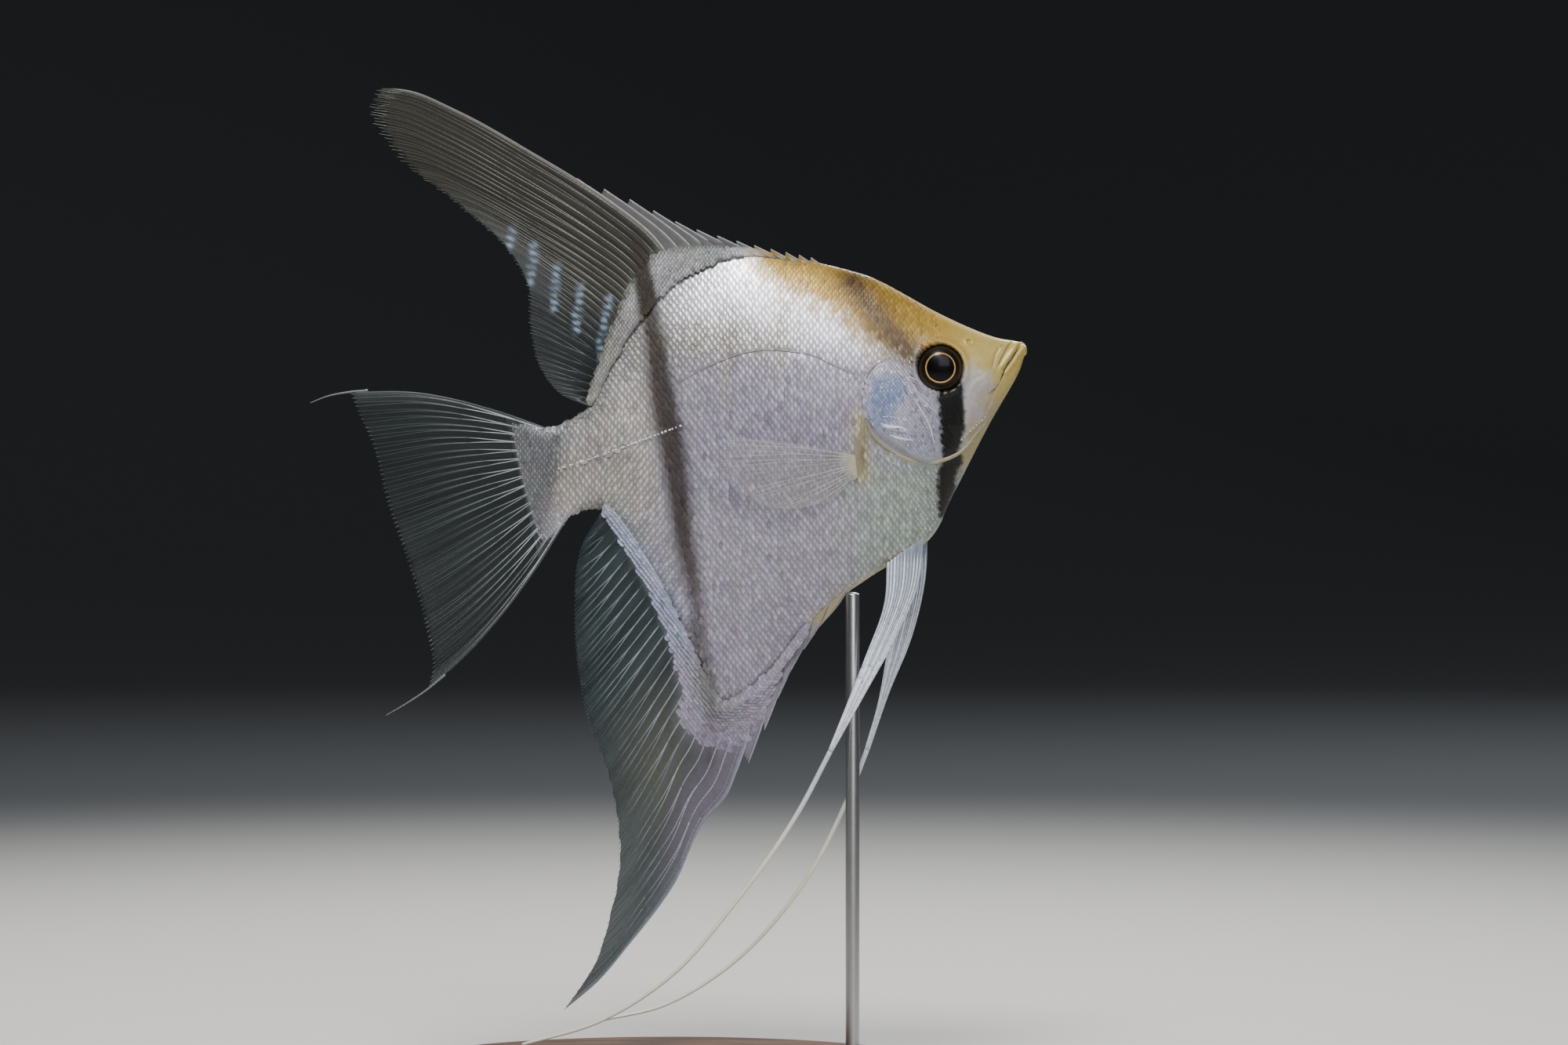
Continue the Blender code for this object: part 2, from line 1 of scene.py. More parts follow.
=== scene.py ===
"""The looks of a life-size freshwater angelfish model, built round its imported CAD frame.

Shapes are worked out in millimetres from the fish's own middle point: x towards the snout, y to
the fish's left, z up. `place` turns them into the frame's metres.
"""

import math

import bpy
import numpy as np
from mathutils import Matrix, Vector


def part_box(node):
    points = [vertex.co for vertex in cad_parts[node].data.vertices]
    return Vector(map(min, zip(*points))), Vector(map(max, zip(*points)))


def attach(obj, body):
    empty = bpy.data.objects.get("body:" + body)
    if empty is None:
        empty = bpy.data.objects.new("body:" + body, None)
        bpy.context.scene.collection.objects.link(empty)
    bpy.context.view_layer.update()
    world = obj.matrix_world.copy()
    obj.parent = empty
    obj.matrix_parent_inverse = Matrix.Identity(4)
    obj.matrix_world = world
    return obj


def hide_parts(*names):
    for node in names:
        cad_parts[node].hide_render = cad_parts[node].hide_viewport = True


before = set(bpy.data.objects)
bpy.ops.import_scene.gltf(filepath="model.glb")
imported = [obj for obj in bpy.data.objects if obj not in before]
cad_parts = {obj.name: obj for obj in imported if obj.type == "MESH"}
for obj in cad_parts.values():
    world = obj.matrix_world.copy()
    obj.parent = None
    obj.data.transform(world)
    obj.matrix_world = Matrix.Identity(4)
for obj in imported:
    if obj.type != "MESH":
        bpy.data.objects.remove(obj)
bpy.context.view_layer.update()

# ---------------------------------------------------------------------------------------------
# Where the fish is. The eyeball is a true ball seen from the side, so its box gives the point
# that every other length is measured from.

MM = 0.001
EYE = (36.1, 18.1)
EYE_RADIUS = 4.1

eye_low, eye_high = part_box("eye_right")
eye_middle = (eye_low + eye_high) / 2
MIDDLE = np.array((eye_middle.x - EYE[0] * MM, 0.0, eye_middle.z - EYE[1] * MM))


def place(points):
    """Points of the fish in millimetres, as metres in the frame: scaled, then moved."""
    return np.asarray(points, float) * MM + MIDDLE


# ---------------------------------------------------------------------------------------------
# The studio: a pale floor that darkens with distance, a painted falloff of light away from the
# model, and curves up into a charcoal wall all round, four soft lights and a level camera square
# to the fish's right side.

FLOOR_RADIUS, COVE_RADIUS, WALL_HEIGHT = 1.7, 0.5, 2.4
FRAME_WIDTH = 280.0  # millimetres seen across the fish's middle plane
FRAME_MIDDLE = (8.4, -9.3)
LENS, SENSOR = 85.0, 36.0


def paint(red, green, blue):
    """A colour mixed on a screen from 0 to 255, as linear light: the sRGB curve undone."""
    value = np.array((red, green, blue)) / 255
    return np.where(value < 0.04045, value / 12.92, ((value + 0.055) / 1.055) ** 2.4)


def grid_faces(rows, columns, start=0, wrap=False):
    """Quads of a grid whose vertices are numbered row by row from `start`."""
    i = np.arange(rows - 1)[:, None]
    j = np.arange(columns if wrap else columns - 1)[None, :]
    k = (j + 1) % columns
    corners = (i * columns + j, i * columns + k, (i + 1) * columns + k, (i + 1) * columns + j)
    return np.stack(np.broadcast_arrays(*corners), axis=-1).reshape(-1, 4) + start


def make_piece(name, vertices, faces, material, attributes=(), crease=None):
    """An object from vertices in metres and lists of faces, with named values on its vertices.
    Shading is smooth, but for edges that turn by more than `crease` degrees."""
    mesh = bpy.data.meshes.new(name)
    lists = [np.asarray(part) for part in faces]
    sizes = np.concatenate([np.full(len(part), part.shape[1]) for part in lists])
    mesh.vertices.add(len(vertices))
    mesh.vertices.foreach_set("co", np.asarray(vertices, np.float32).ravel())
    mesh.loops.add(int(sizes.sum()))
    mesh.loops.foreach_set("vertex_index", np.concatenate([part.ravel() for part in lists]))
    mesh.polygons.add(len(sizes))
    mesh.polygons.foreach_set("loop_start", np.concatenate([[0], np.cumsum(sizes)[:-1]]))
    mesh.update(calc_edges=True)
    for key, values in dict(attributes).items():
        if values.ndim == 1:
            mesh.attributes.new(key, "FLOAT", "POINT").data.foreach_set("value", values)
        else:
            colours = np.column_stack([values, np.ones(len(values))])
            mesh.attributes.new(key, "FLOAT_COLOR", "POINT").data.foreach_set("color", colours.ravel())
    mesh.materials.append(material)
    mesh.polygons.foreach_set("use_smooth", np.full(len(sizes), True))
    if crease:
        mesh.set_sharp_from_angle(angle=math.radians(crease))
    obj = bpy.data.objects.new(name, mesh)
    bpy.context.scene.collection.objects.link(obj)
    return obj


def show(piece, slot, *nodes):
    """Puts a piece on the model and hides the CAD nodes that it stands for. `slot` is not used."""
    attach(piece, "root")
    if nodes:
        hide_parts(*nodes)


def set_inputs(tree, node, inputs):
    """Links a node's inputs, given by name or as at0, at1, to sockets, or sets them to values."""
    for key, value in inputs.items():
        socket = node.inputs[int(key[2:])] if key.startswith("at") else node.inputs[key.replace("_", " ")]
        if isinstance(value, bpy.types.NodeSocket):
            tree.links.new(value, socket)
        else:
            socket.default_value = (*value, 1.0) if socket.type == "RGBA" else value


def add_node(tree, kind, settings=(), **inputs):
    """A node with its settings and inputs."""
    node = tree.nodes.new(kind)
    for key, value in dict(settings).items():
        setattr(node, key, value)
    set_inputs(tree, node, inputs)
    return node


def new_material(name, build, **inputs):
    """A Principled material. `build` adds nodes to its tree, and returns those of the shader's
    inputs that they feed; the other inputs are plain values."""
    material = bpy.data.materials.new(name)
    material.use_nodes = True
    tree = material.node_tree
    set_inputs(tree, tree.nodes["Principled BSDF"], {**inputs, **build(tree)})
    return material


def sum_of(tree, operation, first, second=0.0):
    """The output of a Math node on sockets or numbers."""
    return add_node(tree, "ShaderNodeMath", {"operation": operation}, at0=first, at1=second).outputs[0]


def mix_colours(tree, factor, first, second, how="MIX"):
    """The output of a colour Mix node."""
    settings = {"data_type": "RGBA", "blend_type": how}
    return add_node(tree, "ShaderNodeMix", settings, at0=factor, at6=first, at7=second).outputs[2]


def object_place(tree):
    """Where a point is in its object's own space."""
    return add_node(tree, "ShaderNodeTexCoord").outputs["Object"]


def around(count):
    """Angles of `count` points round a circle."""
    return np.linspace(0, 2 * math.pi, count + 1)[:-1]


def revolved(radius, height, turns, stretch=(1.0, 1.0), centre=(0.0, 0.0)):
    """Rings of points round an upright axis, one at each radius and height."""
    angle = around(turns)
    points = (
        centre[0] + radius[:, None] * stretch[0] * np.cos(angle),
        centre[1] + radius[:, None] * stretch[1] * np.sin(angle),
        np.broadcast_to(height[:, None], (len(radius), turns)),
    )
    return np.stack(points, axis=-1).reshape(-1, 3)


def paper_falloff_nodes(tree):
    """Grey paper, pale under the model and charcoal further away: a painted falloff of light."""
    far = add_node(tree, "ShaderNodeVectorMath", {"operation": "LENGTH"}, at0=object_place(tree))
    eased = {"interpolation_type": "SMOOTHERSTEP"}
    # Painted falloff of light: the paper is pale under the model and fades to charcoal further away.
    share = add_node(
        tree, "ShaderNodeMapRange", eased, Value=far.outputs["Value"], From_Min=0.08, From_Max=0.85
    )
    return {"Base_Color": mix_colours(tree, share.outputs[0], paint(196, 194, 190), paint(46, 49, 52))}


def make_studio():
    """A surface of revolution: a flat disc, a quarter circle and an upright wall."""
    rings, turns = 12, 96
    bend = np.linspace(0, math.pi / 2, 17)[1:]
    outside = FLOOR_RADIUS + COVE_RADIUS
    radius = [np.linspace(0.001, FLOOR_RADIUS, rings), FLOOR_RADIUS + COVE_RADIUS * np.sin(bend), [outside]]
    height = [np.zeros(rings), COVE_RADIUS * (1 - np.cos(bend)), [WALL_HEIGHT]]
    radius, height = np.concatenate(radius), np.concatenate(height)
    faces = [grid_faces(len(radius), turns, wrap=True), [np.arange(turns)[::-1]]]
    material = new_material("studio_paper", paper_falloff_nodes, Roughness=0.9)
    make_piece("studio_floor", revolved(radius, height, turns), faces, material)


def add_to_scene(name, data, where, turned):
    """A light or a camera at a place, turned by three angles."""
    thing = bpy.data.objects.new(name, data)
    thing.location = where
    thing.rotation_euler = turned
    bpy.context.scene.collection.objects.link(thing)
    return thing


def add_light(name, where, size, power, colour):
    """A square soft light aimed at the fish."""
    data = bpy.data.lights.new(name, "AREA")
    data.size, data.energy, data.color = size, power, colour
    aim = Vector(MIDDLE - np.array(where)).to_track_quat("-Z", "Y").to_euler()
    add_to_scene(name, data, where, aim).visible_camera = False


def make_camera():
    """A level camera whose frame is FRAME_WIDTH wide at the fish's middle plane."""
    data = bpy.data.cameras.new("camera")
    data.lens, data.sensor_width = LENS, SENSOR
    where = place((FRAME_MIDDLE[0], -FRAME_WIDTH * LENS / SENSOR, FRAME_MIDDLE[1]))
    bpy.context.scene.camera = add_to_scene("camera", data, where, (math.pi / 2, 0, 0))


make_studio()
add_light("key_light", (-0.1, -0.75, 1.1), 0.3, 16.5, (1.0, 0.98, 0.96))
add_light("front_light", (0.35, -1.2, 0.7), 0.8, 8.0, (0.96, 0.98, 1.0))
add_light("back_light", (0.1, 0.75, 1.0), 0.4, 14.0, (1.0, 1.0, 1.0))
add_light("left_light", (0.9, 1.2, 0.9), 0.5, 9.0, (0.96, 0.98, 1.0))
make_camera()
world = bpy.data.worlds.new("studio_air")
world.use_nodes = True
air = {"Color": (0.9, 0.95, 1.0), "Strength": 0.22}
set_inputs(world.node_tree, world.node_tree.nodes["Background"], air)
bpy.context.scene.world = world

# ---------------------------------------------------------------------------------------------
# The form of the body, which skin, scales and fin roots share. A row of upright cross-sections
# runs from the lips to the root of the tail fin, as in the CAD frame. Each row: x and z of the
# back, x and z of the belly, half of the width, and how sharp the back and belly are.

STATIONS = (
    (50.5, 23.1, 51.4, 20.3, 1.4, 0.50),  # lips
    (45.1, 24.2, 50.0, 16.5, 2.7, 0.50),  # nostrils
    (36.4, 28.0, 45.1, 8.0, 4.9, 0.55),  # eyes
    (26.2, 33.6, 38.8, -4.2, 6.4, 0.62),  # cheeks
    (21.0, 35.6, 34.2, -12.7, 7.0, 0.70),  # gill covers and pelvic fins
    (10.9, 37.9, 23.8, -19.2, 7.3, 0.80),  # first dorsal spines
    (0.0, 38.8, 15.1, -25.9, 7.1, 0.90),  # first anal spines
    (-11.2, 34.7, 6.3, -36.7, 6.2, 1.00),
    (-17.9, 27.3, -2.5, -42.4, 5.0, 1.00),  # lowest point of the body
    (-20.6, 23.4, -5.6, -37.5, 4.5, 0.95),
    (-23.1, 18.9, -12.9, -22.4, 3.9, 0.85),
    (-25.5, 13.6, -21.0, -9.5, 3.1, 0.70),
    (-28.0, 10.2, -24.6, -6.9, 2.6, 0.60),  # narrowest part of the tail
    (-33.6, 7.8, -29.5, -8.1, 1.5, 0.55),  # root of the tail fin
    (-38.4, 8.7, -32.9, -12.2, 0.62, 0.60),  # flesh running out over the tail's rays
    (-41.4, 9.6, -35.4, -15.9, 0.2, 0.60),
)
COAT = 0.18  # depth of the scales over the skin


def hermite(knots, values, at):
    """A smooth curve through rows of `values` at `knots`: cubics whose slopes at the knots are
    the mean of the slopes on both sides, weighted by the other side's length."""
    knots, values = np.asarray(knots, float), np.asarray(values, float)
    steps = np.diff(knots)[:, None]
    slopes = np.diff(values, axis=0) / steps
    tangents = np.vstack([slopes[:1], np.zeros_like(slopes[:-1]), slopes[-1:]])
    tangents[1:-1] = (slopes[:-1] * steps[1:] + slopes[1:] * steps[:-1]) / (steps[:-1] + steps[1:])
    at = np.asarray(at, float)
    flat = at.ravel()
    i = np.clip(np.searchsorted(knots, flat, side="right") - 1, 0, len(steps) - 1)
    step = steps[i]
    t = (flat - knots[i])[:, None] / step
    start = (2 * t**3 - 3 * t**2 + 1) * values[i] + (t**3 - 2 * t**2 + t) * step * tangents[i]
    end = (3 * t**2 - 2 * t**3) * values[i + 1] + (t**3 - t**2) * step * tangents[i + 1]
    return (start + end).reshape(*at.shape, values.shape[1])


def along(points, at):
    """Places at shares `at` of the chord length along a smooth curve through `points`."""
    points = np.asarray(points, float)
    lengths = np.linalg.norm(np.diff(points, axis=0), axis=1)
    knots = np.concatenate([[0.0], np.cumsum(lengths)]) / lengths.sum()
    return hermite(knots, points, at)


def stations_at(at):
    """The columns of STATIONS at fractional station numbers."""
    return hermite(np.arange(len(STATIONS)), STATIONS, at)


def body_point(station, height, side, inset=COAT):
    """The body's surface: `height` runs from -1 at the belly to 1 at the back, and the width is
    the station's half width times (1 - height squared) to the power of its sharpness."""
    row = stations_at(station)
    back, belly = row[..., 0:2], row[..., 2:4]
    half = (back - belly) / 2
    half = half * (1 - inset / np.linalg.norm(half, axis=-1, keepdims=True))
    flat = (back + belly) / 2 + half * np.asarray(height)[..., None]
    width = np.maximum(row[..., 4] - inset, 0.05)
    out = width * np.maximum(1 - np.asarray(height) ** 2, 0.0) ** row[..., 5]
    return np.stack([flat[..., 0], side * out, flat[..., 1]], axis=-1)


def section_of(x, z):
    """The station and height of points in side view. The section's line is found by halving the
    range of stations: a point lies behind a section while the cross product is positive."""
    low, high = np.zeros_like(x), np.full_like(x, len(STATIONS) - 1.001)
    for _ in range(26):
        middle = (low + high) / 2
        row = stations_at(middle)
        rise = row[..., 0:2] - row[..., 2:4]
        behind = rise[..., 0] * (z - row[..., 3]) - rise[..., 1] * (x - row[..., 2]) > 0
        low, high = np.where(behind, middle, low), np.where(behind, high, middle)
    row = stations_at(low)
    rise = row[..., 0:2] - row[..., 2:4]
    share = (rise[..., 0] * (x - row[..., 2]) + rise[..., 1] * (z - row[..., 3])) / (rise**2).sum(-1)
    return low, 2 * share - 1


def ease(low, high, value):
    """0 below `low`, 1 above `high`, and a cubic ease between."""
    t = np.clip((value - low) / (high - low), 0, 1)
    return t * t * (3 - 2 * t)


def near_piece(start, step, x, z):
    """The share of a short straight piece where points are nearest to it, and their distance."""
    t = np.clip(((x - start[0]) * step[0] + (z - start[1]) * step[1]) / (step @ step), 0, 1)
    return t, np.hypot(x - start[0] - t * step[0], z - start[1] - t * step[1])


def distance_to(line, x, z):
    """Distance from points to a smooth line in side view, and the share of it where they are
    nearest: the least over its short straight pieces."""
    dots = along(line, np.linspace(0, 1, 8 * len(line)))
    best, share = np.full(x.shape, 1e9), np.zeros(x.shape)
    for index, (start, end) in enumerate(zip(dots[:-1], dots[1:])):
        t, gap = near_piece(start, end - start, x, z)
        nearer = gap < best
        best = np.where(nearer, gap, best)
        share = np.where(nearer, (index + t) / (len(dots) - 1), share)
    return best, share


def inside(outline, x, z):
    """Signed distance to a closed smooth outline in side view, positive inside: how often a
    level ray crosses it tells the sign."""
    closed = np.vstack([outline, outline[:1]])
    dots = along(closed, np.linspace(0, 1, 6 * len(closed)))
    crossed, best = np.zeros(x.shape, bool), np.full(x.shape, 1e9)
    for start, end in zip(dots[:-1], dots[1:]):
        step = end - start
        spans = (start[1] > z) != (end[1] > z)
        reach = start[0] + step[0] * (z - start[1]) / (step[1] if step[1] else 1e-9)
        crossed ^= spans & (x < reach)
        best = np.minimum(best, near_piece(start, step, x, z)[1])
    return np.where(crossed, best, -best)


def bell(gap, reach):
    """1 where `gap` is 0, falling to 1 / e at `reach`."""
    return np.exp(-((gap / reach) ** 2))


# ---------------------------------------------------------------------------------------------
# The markings, as areas of the fish in side view. Real ones are black, brown and gold pigment
# cells in the skin over a layer of silver, so skin and scales take them from the same functions.
# Painted shade along the rear of the back and belly lines is laid in with them.

MAIN_BAR = (
    (-18.2, 42.5), (-16.5, 33.6), (-14.4, 23.0), (-12.8, 12.7), (-11.4, 5.0), (-10.0, -4.0),
    (-9.0, -12.7), (-7.6, -19.6), (-6.3, -29.4), (-5.0, -37.0), (-4.6, -43.0), (-4.8, -52.0),
)
MAIN_BAR_HALF = (
    (0.0, 1.3), (0.12, 1.7), (0.3, 2.4), (0.42, 2.5), (0.6, 1.8), (0.7, 1.4), (0.85, 1.4), (1.0, 0.5),
)
EYE_BAR = ((37.7, 16.0), (38.1, 11.1), (38.3, 8.0), (38.1, 5.0), (37.6, 2.6))
EYE_BAR_HALF = ((0.0, 2.4), (0.6, 2.2), (0.85, 1.8), (1.0, 1.0))
BREAST_BAR = ((38.6, 2.0), (37.6, -0.2), (37.4, -3.0), (36.9, -7.5))
BREAST_BAR_HALF = ((0.0, 1.7), (0.5, 1.8), (1.0, 1.0))
BROW_BAND = ((20.6, 33.4), (23.9, 29.0), (27.0, 24.6), (30.6, 20.6))
TAN_STREAKS = (((9.3, 33.0), (8.2, 24.0), (7.6, 17.0)), ((-0.5, 26.0), (-1.5, 19.0), (-2.0, 12.0)))
SEAM = ((-21.5, -9.0), (-17.5, -14.5), (-13.2, -20.5), (-10.0, -25.0))
BREAST_EDGE = ((33.0, -14.0), (26.0, -18.5), (20.0, -22.5), (14.8, -26.6))
SILVER_START = (
    (3.4, 39.5), (4.4, 35.7), (7.4, 33.5), (10.6, 32.0), (14.5, 29.8), (18.3, 27.9), (21.6, 24.8),
    (25.0, 22.4), (31.5, 21.6), (40.2, 18.8), (45.0, 17.2), (44.6, 10.5), (41.2, 5.4), (38.5, 0.0),
)
LATERAL_LINE = (
    (20.9, 16.8), (17.1, 18.5), (13.4, 20.3), (9.4, 21.0), (5.2, 21.3), (1.1, 20.7),
    (-2.9, 19.3), (-7.0, 17.4), (-10.1, 15.7),
)
TAIL_LINE = ((-9.7, 8.0), (-12.7, 6.9), (-17.8, 5.0), (-23.0, 3.1), (-28.0, 1.4), (-32.2, 0.2))
GILL_COVER = (
    (27.1, 20.4), (25.0, 19.0), (23.4, 17.3), (22.6, 15.0), (22.6, 12.6), (23.3, 8.9),
    (24.7, 6.5), (26.8, 5.0), (28.9, 3.6), (31.1, 2.1), (33.8, 1.35), (36.2, 1.65),
    (38.1, 2.4), (40.0, 3.6), (38.0, 9.0), (35.0, 14.5), (31.0, 19.0),
)
BLUE_PATCH = ((24.7, 16.0), (29.2, 15.8), (29.6, 13.6), (27.8, 11.6), (27.3, 8.6), (25.2, 8.2), (24.2, 11.0))
CHEEK_PLATE = (
    (44.4, 17.2), (44.9, 15.6), (43.2, 13.4), (42.2, 10.8), (41.5, 8.4), (40.4, 6.4),
    (39.9, 9.9), (40.6, 13.2), (42.0, 15.8),
)

WHITE, SILVER = paint(224, 224, 231), paint(158, 156, 163)
LILAC, GREEN_SILVER = paint(144, 137, 155), paint(146, 157, 148)
WARM_SILVER, GOLD = paint(168, 162, 140), paint(166, 134, 58)
PALE_GOLD, BROWN = paint(182, 164, 94), paint(92, 70, 36)
BLACK, BAR_BROWN = paint(14, 13, 12), paint(46, 38, 32)
BLUE = paint(98, 116, 150)

BODY_EDGE = np.vstack(
    [stations_at(np.linspace(0.5, 13.2, 26))[:, 0:2], stations_at(np.linspace(13.2, 0.5, 26))[:, 2:4]]
)


def body_line(first, last, count, upper, sunk):
    """Points of the back's or the belly's line between two stations, `sunk` into the body."""
    row = stations_at(np.linspace(first, last, count))
    line, other = (row[:, 0:2], row[:, 2:4]) if upper else (row[:, 2:4], row[:, 0:2])
    inward = other - line
    return line + sunk * inward / np.linalg.norm(inward, axis=1)[:, None]


BACK_LINE = body_line(6.0, 12.2, 14, True, 0.0)
BELLY_LINE = body_line(7.4, 12.2, 12, False, 0.0)


def painted(colour, *layers):
    """A colour with others laid over it point by point: each layer is a colour and its cover."""
    for over, cover in layers:
        colour = colour + (over - colour) * cover[:, None]
    return colour


def band(line, halves, softness, x, z):
    """A stripe along a line: 1 within its half width, which changes along it, 0 outside."""
    gap, share = distance_to(line, x, z)
    half = np.interp(share, *np.transpose(halves))
    return 1 - ease(half - softness, half + softness, gap)


def noise(x, z, size, seed):
    """Smooth unevenness from -1 to 1: the sum of five sines in turned directions."""
    total = np.zeros(x.shape)
    for k in range(5):
        angle = seed + 2.4 * k
        turn = 2 * math.pi / size * (0.7 + 0.23 * k)
        total += np.sin(turn * (x * math.cos(angle) + z * math.sin(angle)) + 1.7 * k * seed)
    return total / 5


def bar_cover(x, z):
    """How dark the black bars are, from 0 to 1."""
    main = band(MAIN_BAR, MAIN_BAR_HALF, 1.5, x, z) * (0.92 - 0.42 * ease(-12, -40, z))
    x = x + 0.4 * noise(x, z, 1.7, 0.9)
    eye = band(EYE_BAR, EYE_BAR_HALF, 0.45, x, z)
    breast = band(BREAST_BAR, BREAST_BAR_HALF, 0.6, x, z)
    return np.maximum(main, np.maximum(eye, breast))


def before_silver(x, z):
    """How far points lie before the line where the silver of the flank starts."""
    return inside(np.vstack([SILVER_START, [(60, -5), (60, 45), (3.4, 45)]]), x, z)


def gold_cover(x, z):
    """How gold the skin is: all of the snout, brow and nape, fading into the silver flank."""
    before = before_silver(x, z)
    return ease(-4.2, 2.4, before + 1.5 * noise(x, z, 4.0, 1.3) + 0.8 * noise(x, z, 1.5, 0.8))


def fish_colour(x, z):
    """The skin's colour in side view. Patches are laid over each other from the silver flank to
    the black bars, and painted shade lies along the rear of the back and belly lines."""
    flank = np.exp(-((x - 8) / 17) ** 2 - ((z - 5) / 19) ** 2)
    rear = ease(-10, -17, x) * ease(-14, -3, z)
    # Painted shade: grey laid along the back and belly lines of the rear body, darkest at the outline.
    edges = [
        (paint(128, 129, 124), 0.75 * bell(distance_to(line, x, z)[0], reach) * ease(3, -4, x))
        for line, reach in ((BACK_LINE, 4.5), (BELLY_LINE, 2.0))
    ]
    tans = [(WARM_SILVER * 0.75, 0.4 * bell(distance_to(streak, x, z)[0], 1.3)) for streak in TAN_STREAKS]
    cover = inside(GILL_COVER, x, z)
    gill = ease(0.2, -1.5, cover) * bell(x - 22.3, 1.6)
    armpit = np.exp(-(((x - 22.4) / 0.7) ** 2) - ((z - 2.6) / 2.4) ** 2)
    yellow = GOLD + (PALE_GOLD - GOLD) * (0.75 * ease(36, 44, x))[:, None]
    yellow = painted(yellow, (paint(146, 138, 96), 0.85 * ease(17, 9, z)))
    plate = ease(-0.5, 0.8, inside(CHEEK_PLATE, x, z))
    patch = ease(-1.8, 0.8, inside(BLUE_PATCH, x, z))
    cheek = ease(-0.2, 0.8, cover)
    flecks = ease(0.1, 0.5, noise(x, z, 0.9, 0.7) + 0.6 * noise(x, z, 2.3, 1.7))
    dusky = bell(distance_to(BROW_BAND, x, z)[0], 3.1) * (1 + 0.25 * noise(x, z, 1.6, 2.1))
    darkest = BAR_BROWN + (BLACK - BAR_BROWN) * ease(20, 32, x)[:, None]
    return painted(
        SILVER,
        (WHITE, ease(18.5, 28, z + 0.12 * x) * (1 - 0.25 * ease(20, 26, x))),
        (LILAC * 0.93, 0.85 * flank * ease(23, 17, z)),
        (LILAC * 0.9, 0.6 * ease(-8, -30, z)),
        (GREEN_SILVER, 0.9 * ease(15, 27, x) * ease(6, -3, z)),
        (WARM_SILVER, 0.45 * rear * ease(24, 12, z)),
        (WARM_SILVER, 0.5 * bell(z - 23.5, 3.5) * ease(18, 5, x)),
        (paint(190, 198, 226), 0.75 * bell(distance_to(SEAM, x, z)[0], 1.8)),
        *edges,
        *tans,
        (PALE_GOLD, 0.6 * bell(distance_to(BREAST_EDGE, x, z)[0], 1.4)),
        (PALE_GOLD, 0.55 * gill * ease(-4, 0, z) * ease(14, 8, z)),
        (BROWN, 0.6 * armpit),
        (yellow, gold_cover(x, z) * (1 - 0.7 * ease(4, -2, z))),
        (paint(172, 165, 164), plate * (0.75 + 0.25 * noise(x, z, 1.2, 0.2))),
        (paint(142, 144, 164), 0.6 * cheek * (1 - flecks)),
        (paint(210, 196, 206), 0.5 * cheek * flecks * ease(9, 17, z)),
        (BLUE, 0.85 * patch * (1 - 0.4 * flecks)),
        (BROWN * 0.75, np.clip(dusky, 0, 1)),
        (paint(92, 95, 99), 0.85 * ease(-29.5, -33.5, x - 0.2 * z)),
        (darkest, bar_cover(x, z)),
    )


def fish_shine(x, z):
    """How metallic the skin is: silver all over, less in gold and bars, most on the upper flank."""
    bright = 0.3 + 0.25 * ease(16, 26, z)
    return bright * (1 - 0.55 * gold_cover(x, z)) * (1 - 0.75 * bar_cover(x, z))


# ---------------------------------------------------------------------------------------------
# The skin: one closed surface over the head, jaw, gill covers, trunk and stalk of the tail. It
# lies under the scales, and has the mouth, nostrils, eye sockets and gill covers in relief.

MOUTH = ((51.6, 24.4), (50.3, 22.0), (48.9, 19.7), (47.6, 17.9))
JAW_FOLD = ((47.6, 17.9), (45.4, 13.2), (43.6, 8.6), (41.4, 5.4))
LIP_FOLDS = (((49.2, 22.9), (47.6, 20.3), (46.8, 18.9)), ((46.6, 21.8), (45.7, 19.8), (45.4, 18.4)))
BONE_LINES = (
    ((28.6, 19.0), (29.9, 15.0), (32.6, 9.9), (35.0, 5.3)),
    ((29.9, 15.0), (32.6, 12.2), (35.3, 9.8)),
    ((24.6, 8.2), (28.0, 7.2), (32.0, 6.4)),
    ((44.1, 9.9), (42.0, 7.4), (39.9, 5.3)),
)
NOSTRIL = (41.3, 22.9)


def relief(x, z):
    """How far the skin stands out, in millimetres, from its plain form."""
    height = np.zeros(x.shape)
    gap, share = distance_to(MOUTH, x, z)
    height -= 0.5 * bell(gap, 0.22) * (1 - 0.4 * share)
    height += 0.22 * bell(gap - 0.65, 0.4)
    gap, share = distance_to(JAW_FOLD, x, z)
    height -= 0.22 * bell(gap, 0.22) * (1 - share)
    for fold in LIP_FOLDS:
        height -= 0.16 * bell(distance_to(fold, x, z)[0], 0.2)
    cover = inside(GILL_COVER, x, z)
    front = ease(38.5, 33.0, x + 0.45 * z) * (0.25 + 0.75 * ease(12.0, 5.0, z))
    height += 0.4 * ease(-0.05, 0.5, cover) * ease(9.0, 1.0, cover) * front
    height -= 0.4 * bell(cover + 0.22, 0.22) * front
    for line in BONE_LINES:
        gap, share = distance_to(line, x, z)
        height += 0.16 * bell(gap, 0.2) * np.sin(math.pi * np.clip(share, 0.02, 0.98)) ** 0.4
    height += 0.12 * ease(-0.1, 0.5, inside(CHEEK_PLATE, x, z))
    nostril = np.hypot(x - NOSTRIL[0], z - NOSTRIL[1])
    height += 0.16 * bell(nostril - 0.6, 0.25) - 0.5 * bell(nostril, 0.3)
    eye = np.hypot(x - EYE[0], z - EYE[1])
    height += 0.3 * bell(eye - 4.7, 0.5) - 2.7 * ease(4.3, 3.95, eye)
    for line, depth in ((LATERAL_LINE, -0.1), (TAIL_LINE, 0.1)):
        height += depth * bell(distance_to(line, x, z)[0], 0.25)
    return height


def skin_grid(station, height, side):
    """The skin as body_point with the relief added sideways, none of it at the sharp edges."""
    points = body_point(station, height, side)
    x, z = points[..., 0].ravel(), points[..., 2].ravel()
    rise = relief(x, z).reshape(height.shape)
    points[..., 1] += side * rise * ease(0.0, 0.9, np.abs(points[..., 1]))
    return points


